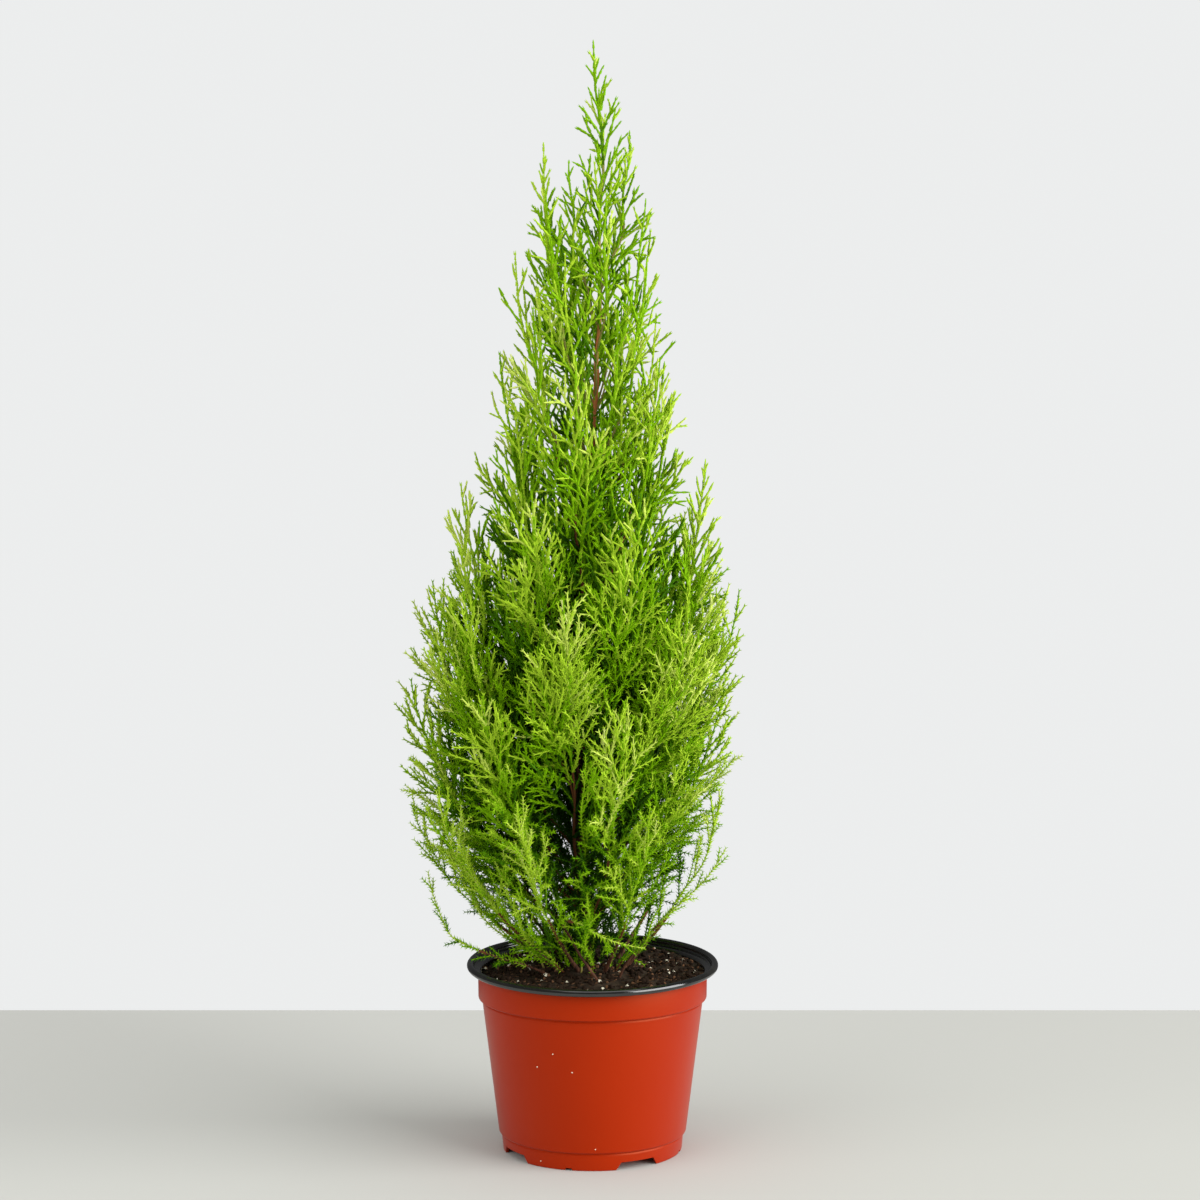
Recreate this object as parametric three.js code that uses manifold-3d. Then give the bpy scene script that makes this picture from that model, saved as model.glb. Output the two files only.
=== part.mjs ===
// A young lemon cypress in a nursery pot.
// Millimetres, +Z up. The origin is on the pot's axis, on the surface that the pot stands on,
// and the plant is seen from the front by looking along +Y.

import * as THREE from "three";
import { mergeVertices } from "three/addons/utils/BufferGeometryUtils.js";
import Module from "manifold-3d";

const wasm = await Module();
wasm.setup();

// Driving dimensions of the pot
const FIT_GAP = 0.3;
const POT_SIDES = 26;
const POT_WALL = 1.2;
const POT_DRAFT = 0.4;
const RIM_RADIUS = 82.5;
const RIM_TOP = 124.5;
const RIM_ROLL = 2.6;
const RIM_ROLL_ANGLES = [-90, 100];
const RIM_ROLL_STEPS = 4;
const RIM_LIP = { width: 2.2, drop: 1, depth: 4 };
const BAND_RADIUS = 75.2;
const BAND_FOOT = 101;
const BAND_STEP = 2.8;
const BAND_STEP_HEIGHT = 3.4;
const BAND_DRAFT = 0.2;
const SHELL_TOP = 119;
const FOOT_RADIUS = 58.8;
const FOOT_DRAFT = 1;
const FOOT_TOP = 10;
const FOOT_STEP = 1.8;
const FOOT_STEP_HEIGHT = 3;
const PAD_RADIUS = 44;
const PAD_WALL_SHIFT = 0.8;
const CHANNEL_HEIGHT = 5.8;
const CHANNEL_SLOPE = 3;
const FEET = 4;
const FRONT_FOOT_TURN = -15;
const FOOT_GAP_ANGLE = 29;
const FOOT_GAP_TOP_ANGLE = 23;
const FOOT_GAP_HEIGHT = 5.2;
const FOOT_NICK = { width: 5, topWidth: 4, height: 1.6 };
const NOTCH_DEPTH = 22;
const NOTCH_BELOW = 2;
const COLLAR_FOOT = 113.2;
const COLLAR_WALL = 0.9;
const COLLAR_ROOM = 6;
const SOIL_EDGE = 112.6;
const SOIL_TOP = 116;
const SOIL_FLAT_RADIUS = 50;
const SOIL_GAP = 0.4;

// Driving dimensions of the trunk and the stems
const SEED = 45;
const PLANT_HEIGHT = 720;
const TRUNK_SWAY = [-3, -27, 20, 0.6];
const TRUNK_DEPTH_SWAY = [2, 10, -8, 1];
const TRUNK_TIP_HEIGHT = 575;
const TRUNK_FOOT_RADIUS = 4.4;
const TRUNK_TIP_RADIUS = 1.1;
const TRUNK_TAPER_POWER = 0.8;
const TRUNK_SIDES = 7;
const TRUNK_STEPS = 14;
const TRUNK_BELOW_SOIL = 4;
const TRUNK_SPACE_ABOVE = 1.2;
const ROOT_FLARE = 2.2;
const ROOT_FLARE_HEIGHT = 9;
const BASAL_STEM_RADIUS = 2.5;
const BASAL_STEM_END_RADIUS = 1.5;
const STEM_BELOW_SOIL = 0.05;
const STEM_SHARE = 0.3;
const STEM_RING = [15, 22];
const STEM_SIDES = 5;
const STEM_STEPS = 5;
const PATH_POINTS = 14;

// Driving dimensions of the plumes of foliage
const FOOT_HEIGHT_STEP = 6;
const DIRECTION_SPREAD = 8;
const TIP_HEIGHT_SPREAD = 22;
const CROWN_SHARE = [0.97, 1.02];
const LEADER_BARE = 0.2;
const SPRIG_BARE = 0.16;
const TOP_REACH = 17;
const TWIG_RADIUS = 1.4;
const TWIG_TIP_RADIUS = 0.6;
const TWIG_SHARE_OF_TRUNK = 0.8;
const TWIG_SIDES = 3;
const TWIG_STEPS = 5;
const PLUME_TAPER = 0.45;
const GOLDEN_ANGLE = 137.5;
const TURNS_TRIED = [0, 72, 144, 216, 288];
const FIRST_SPRAY = 0.35;
const SPRAY_SEED_STEP = 7919;

// Driving dimensions of a spray; a share is of its own length unless its name says otherwise
const SPRAY_ANGLE = 27;
const SPRAY_SPACING = 1.3;
const SPRAY_SPREAD = [0.9, 1.15];
const SPRAY_SIZES = [1, 0.8, 0.62, 0.48];
const SPRAY_TESTS = [0.3, 0.55, 0.8, 1];
const SPRAY_STRAIGHTENING = [-0.18, 0.16];
const SPRAY_THICKNESS = 2.2;
const SPRAY_TAPER = 0.5;
const SPRAY_TEETH = 4;
const SHORTEST_SPRAY = 14;
const TIP_SPRAY_LENGTH = 36;
const TIP_SPRAY_MOST = 0.3;
const TWIG_INTO_TIP_SPRAY = 0.08;
const STALK_LENGTH = 7;
const STALK_MOST = 0.2;
const STALK_WIDTH = 1.3;
const STALK_ROOT = 0.25;
const RIB_SHARE = 0.84;
const RIB_END_SHIFT = 1.2;
const TANGENT_STEP = 0.02;
const TOOTH_ANGLE = 33;
const TOOTH_SHARE = 0.66;
const TOOTH_SPREAD = [0.85, 1.15];
const TOOTH_LIFT = 0.5;
const TOOTH_SIZES = [1, 0.7, 0.45];
const STUB_LENGTH = 3;
const STUB_SHARE_OF_TOOTH = 0.3;

// The room that foliage keeps round its neighbours
const SPACE_MARGIN = 2.4;
const TIP_MARGIN = 1.2;
const LIMB_CLEARANCE = 1.6;
const OUTLINE_SLACK = 5;

// How far out and up, as shares of the whole, a plume's two guide points lie
const BOW_FROM_TRUNK = [0.42, 0.2, 0.9, 0.55];
const BOW_FROM_SOIL = [0.3, 0.2, 0.9, 0.55];
const BOW_OF_LEADER = [0.6, 0.2, 0.95, 0.55];

// Half the crown's width, and how far its middle lies from the pot's axis, at a few heights
const CROWN_RADIUS = [[116, 24], [150, 58], [200, 94], [240, 105], [330, 104], [375, 99],
  [440, 78], [468, 62], [540, 54], [600, 46], [655, 28], [720, 0]];
const CROWN_CENTRE = [[116, -4], [200, -14], [240, -18], [330, -15], [375, -3], [440, -6],
  [600, -3], [720, 0]];

// The crown's tiers of plumes, from the ground up. A tier's plumes end at about one height, in the
// directions listed, and leave the trunk or, where they have stems of their own, the soil.
const TIERS = [
  { name: "skirt", tipHeight: 236, footHeight: SOIL_TOP, reach: 30, bare: 0.1, ownStem: true,
    directions: [181, 222, 256, 303, 350, 34, 84, 132] },
  { name: "flank", tipHeight: 314, footHeight: 138, reach: 32, bare: 0.36,
    directions: [184, 240, 291, 358, 60, 120] },
  { name: "waist", tipHeight: 368, footHeight: 178, reach: 32, bare: 0.36,
    directions: [178, 220, 262, 2, 88, 310] },
  { name: "shoulder", tipHeight: 443, footHeight: 236, reach: 31, bare: 0.34,
    directions: [180, 245, 295, 50, 118] },
  { name: "column", tipHeight: 516, footHeight: 330, reach: 29, bare: 0.22,
    directions: [176, 262, 326, 20, 95] },
  { name: "crest", tipHeight: 590, footHeight: 424, reach: 27, bare: 0.18,
    directions: [186, 250, 320, 20, 100] },
];

// Plumes that give the outline its own character: minor leaders beside the main one and a spire
const SIDE_LEADERS = [
  { name: "second_leader", footHeight: 482, tip: [-31.5, 4, 655], reach: 22 },
  { name: "third_leader", footHeight: 540, tip: [-15, -9, 643], reach: 15 },
  { name: "side_leader", footHeight: 562, tip: [24, 5, 663], reach: 21 },
  { name: "right_spire", footHeight: 262, tip: [73, -4, 452], reach: 26 },
];

// Low sprigs on stems of their own, each given by its foot, two guide points and its tip
const SPRIGS = [
  { name: "left_sprig", reach: 14, stemShare: 0.42,
    guides: [[-24, -16, SOIL_TOP], [-60, -26, 138], [-100, -30, 128], [-106, -28, 188]] },
  { name: "right_sprig", reach: 15, stemShare: 0.4,
    guides: [[17, -20, SOIL_TOP], [40, -30, 140], [76, -34, 158], [86, -30, 204]] },
  { name: "front_sprig", reach: 17, stemShare: 0.5,
    guides: [[5, -36, SOIL_TOP], [-28, -42, 200], [8, -72, 196], [33, -60, 141]] },
];

const COLOURS = {
  pot: "#b4350f",
  rim: "#2c2c2a",
  soil: "#2b2014",
  bark: "#6d4029",
  foliage: ["#6f9a1c", "#84ac2a", "#5f8a17", "#95b93c"],
};

const BAND_INNER = BAND_RADIUS - POT_WALL;
const BODY_INNER_TOP = BAND_FOOT - BAND_STEP_HEIGHT + POT_WALL;
const UP = new THREE.Vector3(0, 0, 1);
const radians = THREE.MathUtils.degToRad;
const between = ([low, high], share) => THREE.MathUtils.lerp(low, high, share);

// A small seeded stream of numbers from 0 to 1, so that the plant grows the same way every time.
function randomStream(seed) {
  let state = Math.imul(seed, 2654435761) >>> 0;
  return () => {
    state = (Math.imul(state, 1664525) + 1013904223) >>> 0;
    return state / 4294967296;
  };
}

// A value read by height from a short list of [height, value] pairs, straight between them.
function byHeight(pairs, height) {
  const next = pairs.findIndex(([level]) => level >= height);
  if (next <= 0) return next === 0 ? pairs[0][1] : pairs.at(-1)[1];
  const [lowLevel, low] = pairs[next - 1];
  const [highLevel, high] = pairs[next];
  return THREE.MathUtils.mapLinear(height, lowLevel, highLevel, low, high);
}

// Turns a closed geometry into a solid that can be joined and cut.
function solidOf(geometry) {
  const bare = geometry.clone();
  bare.deleteAttribute("normal");
  bare.deleteAttribute("uv");
  const merged = mergeVertices(bare, 1e-4);
  const corners = [];
  for (let i = 0; i < merged.index.count; i += 3) {
    const triangle = [0, 1, 2].map((k) => merged.index.getX(i + k));
    if (new Set(triangle).size === 3) corners.push(...triangle);
  }
  const vertProperties = new Float32Array(merged.attributes.position.array);
  const triVerts = new Uint32Array(corners);
  return new wasm.Manifold(new wasm.Mesh({ numProp: 3, vertProperties, triVerts }));
}

// Gives the largest body of a solid as a geometry, without loose scraps.
function geometryOf(solid) {
  const bodies = solid.decompose();
  const largest = bodies.reduce((best, body) => (body.volume() > best.volume() ? body : best));
  const mesh = largest.getMesh();
  const geometry = new THREE.BufferGeometry();
  geometry.setAttribute("position", new THREE.BufferAttribute(mesh.vertProperties, 3));
  geometry.setIndex(new THREE.BufferAttribute(mesh.triVerts, 1));
  geometry.computeVertexNormals();
  return geometry;
}

function namedMesh(name, solid, colour, roughness) {
  const material = new THREE.MeshStandardMaterial({ color: colour, roughness, metalness: 0 });
  const mesh = new THREE.Mesh(geometryOf(solid), material);
  mesh.name = name;
  return mesh;
}

// A turned solid: the profile is a list of [radius, height] points.
function turned(profile) {
  const points = profile.map(([radius, height]) => new THREE.Vector2(radius, height));
  return solidOf(new THREE.LatheGeometry(points, POT_SIDES).rotateX(Math.PI / 2));
}

// A notch through the foot of the pot: a trapezium drawn across the wall, extruded outwards.
function footNotch(footWidth, topWidth, height, turn) {
  const outline = new THREE.Shape([
    new THREE.Vector2(-footWidth / 2, -NOTCH_BELOW),
    new THREE.Vector2(footWidth / 2, -NOTCH_BELOW),
    new THREE.Vector2(topWidth / 2, height),
    new THREE.Vector2(-topWidth / 2, height),
  ]);
  const notch = new THREE.ExtrudeGeometry(outline, { depth: NOTCH_DEPTH, bevelEnabled: false });
  notch.rotateX(Math.PI / 2);
  notch.translate(0, -(FOOT_RADIUS - NOTCH_DEPTH / 2), 0);
  notch.rotateZ(radians(turn));
  return solidOf(notch);
}

// The terracotta shell: a flat pad in the middle, a raised channel round it and four feet.
function potShell() {
  const footInner = FOOT_RADIUS - POT_WALL - POT_DRAFT;
  const floorTop = CHANNEL_HEIGHT + POT_WALL;
  const padInner = PAD_RADIUS - PAD_WALL_SHIFT;
  let shell = turned([
    [0, 0],
    [PAD_RADIUS, 0],
    [PAD_RADIUS + CHANNEL_SLOPE, CHANNEL_HEIGHT],
    [footInner - POT_DRAFT, CHANNEL_HEIGHT],
    [footInner, 0],
    [FOOT_RADIUS, 0],
    [FOOT_RADIUS + FOOT_DRAFT, FOOT_TOP],
    [FOOT_RADIUS + FOOT_DRAFT + FOOT_STEP, FOOT_TOP + FOOT_STEP_HEIGHT],
    [BAND_RADIUS - BAND_STEP, BAND_FOOT - BAND_STEP_HEIGHT],
    [BAND_RADIUS - BAND_DRAFT, BAND_FOOT],
    [BAND_RADIUS, SHELL_TOP],
    [BAND_INNER, SHELL_TOP],
    [BAND_INNER - BAND_DRAFT, BAND_FOOT + POT_WALL],
    [BAND_INNER - BAND_STEP, BODY_INNER_TOP],
    [FOOT_RADIUS - POT_DRAFT, floorTop],
    [padInner + CHANNEL_SLOPE, floorTop],
    [padInner, POT_WALL],
    [0, POT_WALL],
  ]);
  const widthOf = (angle) => 2 * FOOT_RADIUS * Math.tan(radians(angle / 2));
  const gapWidths = [FOOT_GAP_ANGLE, FOOT_GAP_TOP_ANGLE].map(widthOf);
  for (let foot = 0; foot < FEET; foot += 1) {
    const turn = FRONT_FOOT_TURN + (360 / FEET) * foot;
    const gap = footNotch(...gapWidths, FOOT_GAP_HEIGHT, turn + 180 / FEET);
    const nick = footNotch(FOOT_NICK.width, FOOT_NICK.topWidth, FOOT_NICK.height, turn);
    shell = shell.subtract(gap).subtract(nick);
  }
  return shell;
}

// The black rolled rim, with the collar that lines the wall down to the soil.
function potRim() {
  const collarOuter = BAND_INNER - FIT_GAP;
  const collarInner = collarOuter - COLLAR_WALL;
  const roll = [];
  for (let step = 0; step <= RIM_ROLL_STEPS; step += 1) {
    const angle = radians(between(RIM_ROLL_ANGLES, step / RIM_ROLL_STEPS));
    roll.push([
      RIM_RADIUS - RIM_ROLL + RIM_ROLL * Math.cos(angle),
      RIM_TOP - RIM_ROLL + RIM_ROLL * Math.sin(angle),
    ]);
  }
  const foot = [collarInner, COLLAR_FOOT];
  return turned([
    foot,
    [collarOuter, COLLAR_FOOT],
    [collarOuter, SHELL_TOP + FIT_GAP],
    ...roll,
    [collarInner + RIM_LIP.width, RIM_TOP - RIM_LIP.drop],
    [collarInner, RIM_TOP - RIM_LIP.depth],
    foot,
  ]);
}

// The potting soil: level where the stems stand, falling a little towards the wall.
function soil() {
  const foot = POT_WALL + FIT_GAP;
  const padEdge = PAD_RADIUS - PAD_WALL_SHIFT - SOIL_GAP;
  return turned([
    [0, foot],
    [padEdge, foot],
    [padEdge + CHANNEL_SLOPE, CHANNEL_HEIGHT + foot],
    [FOOT_RADIUS - POT_DRAFT - SOIL_GAP, CHANNEL_HEIGHT + foot],
    [BAND_INNER - BAND_STEP - SOIL_GAP, BODY_INNER_TOP],
    [BAND_INNER - BAND_DRAFT - SOIL_GAP, SOIL_EDGE],
    [SOIL_FLAT_RADIUS, SOIL_TOP],
    [0, SOIL_TOP],
  ]);
}

// Points spread evenly along part of a curve.
function pathOf(curve, from, to, count = PATH_POINTS) {
  return Array.from({ length: count }, (_, i) => curve.getPoint(between([from, to], i / (count - 1))));
}

// A cylinder bent along part of a curve. Its radius is a function of the share from 0 to 1, and
// side is a direction that its sections are turned to.
function limbSolid(curve, side, from, to, radiusAt, sides, steps) {
  const limb = new THREE.CylinderGeometry(1, 1, 1, sides, steps);
  const corner = limb.attributes.position;
  for (let i = 0; i < corner.count; i += 1) {
    const share = corner.getY(i) + 0.5;
    const t = between([from, to], share);
    const tangent = curve.getTangent(THREE.MathUtils.clamp(t, 0, 1));
    const across = side.clone().addScaledVector(tangent, -side.dot(tangent)).normalize();
    const normal = across.clone().cross(tangent);
    const radius = radiusAt(share);
    const point = curve.getPoint(t)
      .addScaledVector(across, corner.getX(i) * radius)
      .addScaledVector(normal, corner.getZ(i) * radius);
    corner.setXYZ(i, point.x, point.y, point.z);
  }
  return solidOf(limb);
}

// The line from the soil to the plant's tip that the trunk and its leading shoot follow.
const AXIS = new THREE.CubicBezierCurve3(...TRUNK_SWAY.map((x, i) => new THREE.Vector3(
  x, TRUNK_DEPTH_SWAY[i], THREE.MathUtils.lerp(SOIL_TOP, PLANT_HEIGHT, i / 3))));
const AXIS_SIDE = new THREE.Vector3(0, 1, 0);
const axisShare = (height) => (height - SOIL_TOP) / (PLANT_HEIGHT - SOIL_TOP);

function trunkRadius(height) {
  const above = Math.max(0, height - SOIL_TOP);
  const share = (above / (TRUNK_TIP_HEIGHT - SOIL_TOP)) ** TRUNK_TAPER_POWER;
  const taper = between([TRUNK_FOOT_RADIUS, TRUNK_TIP_RADIUS], share);
  return taper + ROOT_FLARE * Math.exp(-above / ROOT_FLARE_HEIGHT);
}

// The trunk, or the space it needs when extra is more than nothing.
function trunkSolid(extra) {
  const foot = SOIL_TOP - TRUNK_BELOW_SOIL;
  const top = TRUNK_TIP_HEIGHT + (extra > 0 ? TRUNK_SPACE_ABOVE : 0);
  const radiusAt = (share) => trunkRadius(between([foot, TRUNK_TIP_HEIGHT], share)) + extra;
  const trunk = limbSolid(AXIS, AXIS_SIDE, axisShare(foot), axisShare(top), radiusAt,
    TRUNK_SIDES, TRUNK_STEPS);
  return extra > 0 ? trunk : trunk.trimByPlane([0, 0, 1], SOIL_TOP + FIT_GAP);
}

// A route that leaves its foot outwards and bows up towards its tip.
function bowedRoute(foot, tip, [firstOut, firstUp, secondOut, secondUp]) {
  const spread = tip.clone().sub(foot).setZ(0);
  const rise = tip.z - foot.z;
  const guide = (out, up) => foot.clone().addScaledVector(spread, out).addScaledVector(UP, up * rise);
  const guides = [guide(firstOut, firstUp), guide(secondOut, secondUp)];
  const curve = new THREE.CubicBezierCurve3(foot, ...guides, tip);
  const side = new THREE.Vector3(-spread.y, spread.x, 0).normalize();
  return { curve, side };
}

// A plume: its route, the share of it that is a stem of its own, the share of the rest that is
// bare, and how far its sprays reach.
function plumeOnTier(tier, order, seed) {
  const random = randomStream(seed);
  const direction = radians(tier.directions[order] + (random() - 0.5) * DIRECTION_SPREAD);
  const tipHeight = tier.tipHeight + (random() - 0.5) * TIP_HEIGHT_SPREAD;
  const width = byHeight(CROWN_RADIUS, tipHeight) * between(CROWN_SHARE, random());
  const outward = new THREE.Vector3(Math.cos(direction), Math.sin(direction), 0);
  const lift = ((order * 3) % tier.directions.length) * FOOT_HEIGHT_STEP;
  const footHeight = tier.ownStem ? SOIL_TOP : tier.footHeight + lift;
  const foot = AXIS.getPoint(axisShare(footHeight));
  if (tier.ownStem) foot.addScaledVector(outward, between(STEM_RING, random()));
  const tip = outward.clone().multiplyScalar(width);
  tip.x += byHeight(CROWN_CENTRE, tipHeight);
  tip.z = tipHeight;
  return {
    ...bowedRoute(foot, tip, tier.ownStem ? BOW_FROM_SOIL : BOW_FROM_TRUNK),
    name: `${tier.name}_${order + 1}`,
    reach: tier.reach,
    bare: tier.bare,
    stemShare: tier.ownStem ? STEM_SHARE : 0,
    seed,
  };
}

function sideLeader({ name, footHeight, tip, reach }, seed) {
  const foot = AXIS.getPoint(axisShare(footHeight));
  const route = bowedRoute(foot, new THREE.Vector3(...tip), BOW_OF_LEADER);
  return { ...route, name, reach, bare: LEADER_BARE, stemShare: 0, free: true, seed };
}

function sprig({ name, reach, stemShare, guides }, seed) {
  const curve = new THREE.CubicBezierCurve3(...guides.map((guide) => new THREE.Vector3(...guide)));
  const spread = curve.v3.clone().sub(curve.v0).setZ(0);
  const side = new THREE.Vector3(-spread.y, spread.x, 0).normalize();
  return { name, curve, side, reach, bare: SPRIG_BARE, stemShare, free: true, seed };
}

// The leading shoot that carries the trunk's line on to the plant's tip.
function leader(seed) {
  const start = axisShare(TRUNK_TIP_HEIGHT + FIT_GAP);
  const curve = new THREE.CatmullRomCurve3(pathOf(AXIS, start, 1));
  const place = { curve, side: AXIS_SIDE, onTip: true };
  return { ...place, name: "leader", reach: TOP_REACH, bare: 0, stemShare: 0, free: true, seed };
}

function allPlumes() {
  const makers = [];
  for (const tier of TIERS) {
    tier.directions.forEach((_, order) => makers.push((seed) => plumeOnTier(tier, order, seed)));
  }
  SIDE_LEADERS.forEach((one) => makers.push((seed) => sideLeader(one, seed)));
  SPRIGS.forEach((one) => makers.push((seed) => sprig(one, seed)));
  makers.push(leader);
  return makers.map((make, order) => make(SEED + order));
}

function distanceToPath(point, path) {
  const nearest = new THREE.Vector3();
  const stretch = new THREE.Line3();
  let best = Infinity;
  for (let i = 1; i < path.length; i += 1) {
    stretch.set(path[i - 1], path[i]).closestPointToPoint(point, true, nearest);
    best = Math.min(best, nearest.distanceTo(point));
  }
  return best;
}

const PLUMES = allPlumes();
const TRUNK_PATH = pathOf(AXIS, 0, axisShare(TRUNK_TIP_HEIGHT));
for (const plume of PLUMES) {
  plume.stemPath = pathOf(plume.curve, 0, plume.stemShare);
  plume.path = pathOf(plume.curve, plume.stemShare, 1);
}

function clearOfPot(point, margin) {
  const radius = Math.hypot(point.x, point.y);
  if (point.z > RIM_TOP + margin) return true;
  if (radius > RIM_RADIUS + margin) return true;
  return radius < BAND_RADIUS - COLLAR_ROOM - margin && point.z > SOIL_TOP + margin;
}

// How far a point lies outside the crown's outline, or less than nothing inside it.
function beyondCrown(point) {
  const fromMiddle = Math.hypot(point.x - byHeight(CROWN_CENTRE, point.z), point.y);
  return fromMiddle - byHeight(CROWN_RADIUS, point.z);
}

// A point is in a plume's own space when it is nearer to that plume than to any other, inside the
// crown's outline, and clear of the trunk, the stems and the pot.
function inOwnSpace(point, plume, margin) {
  if (!clearOfPot(point, margin)) return false;
  if (!plume.free && beyondCrown(point) > OUTLINE_SLACK) return false;
  if (distanceToPath(point, TRUNK_PATH) < trunkRadius(point.z) + LIMB_CLEARANCE) return false;
  const own = distanceToPath(point, plume.path) + margin;
  return PLUMES.every((other) => {
    const stemLimit = BASAL_STEM_RADIUS + LIMB_CLEARANCE;
    if (other.stemShare > 0 && distanceToPath(point, other.stemPath) < stemLimit) return false;
    return other === plume || distanceToPath(point, other.path) > own;
  });
}

// A spray of scale-leaved twigs as a toothed blade: past a short stalk, teeth stand out to left and
// right of a rib by turns, each a thin wedge that runs out to a point, and so does the rib.
function spraySolid(plume, routeAt, face, length, random) {
  const stations = 2 * SPRAY_TEETH;
  const stalk = Math.min(STALK_MOST, STALK_LENGTH / length);
  const corners = [];
  const triangles = [];
  const add = (point) => corners.push(point) - 1;
  const top = [];
  const foot = [];
  const ribs = [];
  for (let i = 0; i <= stations; i += 1) {
    const share = i < 2 ? i * stalk / 2 : between([stalk, RIB_SHARE], (i - 2) / (stations - 2));
    const point = routeAt(share);
    const half = (SPRAY_THICKNESS / 2) * (i === 0 ? STALK_ROOT : 1 - SPRAY_TAPER * share);
    const tangent = routeAt(share + TANGENT_STEP).sub(routeAt(share - TANGENT_STEP)).normalize();
    ribs.push({ point, share, tangent });
    top.push(add(point.clone().addScaledVector(face, half)));
    foot.push(add(point.clone().addScaledVector(face, -half)));
  }
  const fan = (first, last, hand, tip) => {
    const loop = [];
    for (let i = first; i <= last; i += 1) loop.push(top[i]);
    for (let i = last; i >= first; i -= 1) loop.push(foot[i]);
    loop.forEach((corner, k) => {
      const next = loop[(k + 1) % loop.length];
      triangles.push(...(hand > 0 ? [corner, next, tip] : [next, corner, tip]));
    });
  };
  const toothTip = (station, hand) => {
    const { point, share, tangent } = ribs[station];
    const across = face.clone().cross(tangent).multiplyScalar(hand);
    const angle = radians(TOOTH_ANGLE);
    const lean = tangent.clone().multiplyScalar(Math.cos(angle))
      .addScaledVector(across, Math.sin(angle))
      .addScaledVector(face, TOOTH_LIFT * (random() - 0.5)).normalize();
    const full = length * TOOTH_SHARE * (1 - SPRAY_TAPER * share) * between(TOOTH_SPREAD, random());
    for (const size of TOOTH_SIZES) {
      const tip = point.clone().addScaledVector(lean, full * size);
      if (inOwnSpace(tip, plume, TIP_MARGIN)) return add(tip);
    }
    const stub = Math.min(STUB_LENGTH, full * STUB_SHARE_OF_TOOTH);
    return add(point.clone().addScaledVector(lean, stub));
  };
  const stalkSide = face.clone().cross(ribs[1].tangent);
  fan(0, 2, 1, add(ribs[1].point.clone().addScaledVector(stalkSide, STALK_WIDTH)));
  for (let i = 2; i < stations; i += 2) fan(i, i + 2, 1, toothTip(i + 1, 1));
  for (let i = 1; i < stations - 1; i += 2) fan(i, i + 2, -1, toothTip(i + 1, -1));
  triangles.push(top[1], top[0], foot[0], top[1], foot[0], foot[1]);
  const last = ribs[stations];
  const lastTip = routeAt(1).addScaledVector(face.clone().cross(last.tangent), -RIB_END_SHIFT);
  fan(stations - 1, stations, -1, add(lastTip));
  const geometry = new THREE.BufferGeometry().setFromPoints(corners);
  geometry.setIndex(triangles);
  return solidOf(geometry);
}

// A spray that leaves the plume's twig sideways and curves up along it.
function sideSpray(plume, share, roll, length, random) {
  const start = plume.curve.getPoint(share);
  const tangent = plume.curve.getTangent(share);
  const across = plume.side.clone().addScaledVector(tangent, -plume.side.dot(tangent)).normalize();
  const outward = across.clone().applyAxisAngle(tangent, roll);
  const angle = radians(SPRAY_ANGLE);
  const lean = tangent.clone().multiplyScalar(Math.cos(angle)).addScaledVector(outward, Math.sin(angle));
  const face = tangent.clone().cross(outward).cross(lean).normalize();
  const [backwards, upwards] = SPRAY_STRAIGHTENING;
  for (const size of SPRAY_SIZES.map((part) => part * length)) {
    if (size < SHORTEST_SPRAY) return null;
    const routeAt = (s) => start.clone()
      .addScaledVector(lean, size * (s + backwards * s * s))
      .addScaledVector(tangent, size * upwards * s * s);
    const inside = SPRAY_TESTS.every((s) => inOwnSpace(routeAt(s), plume, SPACE_MARGIN));
    if (inside) return { size, make: () => spraySolid(plume, routeAt, face, size, random) };
  }
  return null;
}

// The share of a curve that lies a short length past another share.
function shareAfter(curve, share, length) {
  const pace = curve.getPoint(share).distanceTo(curve.getPoint(share + TANGENT_STEP)) / TANGENT_STEP;
  return share + length / pace;
}

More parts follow.
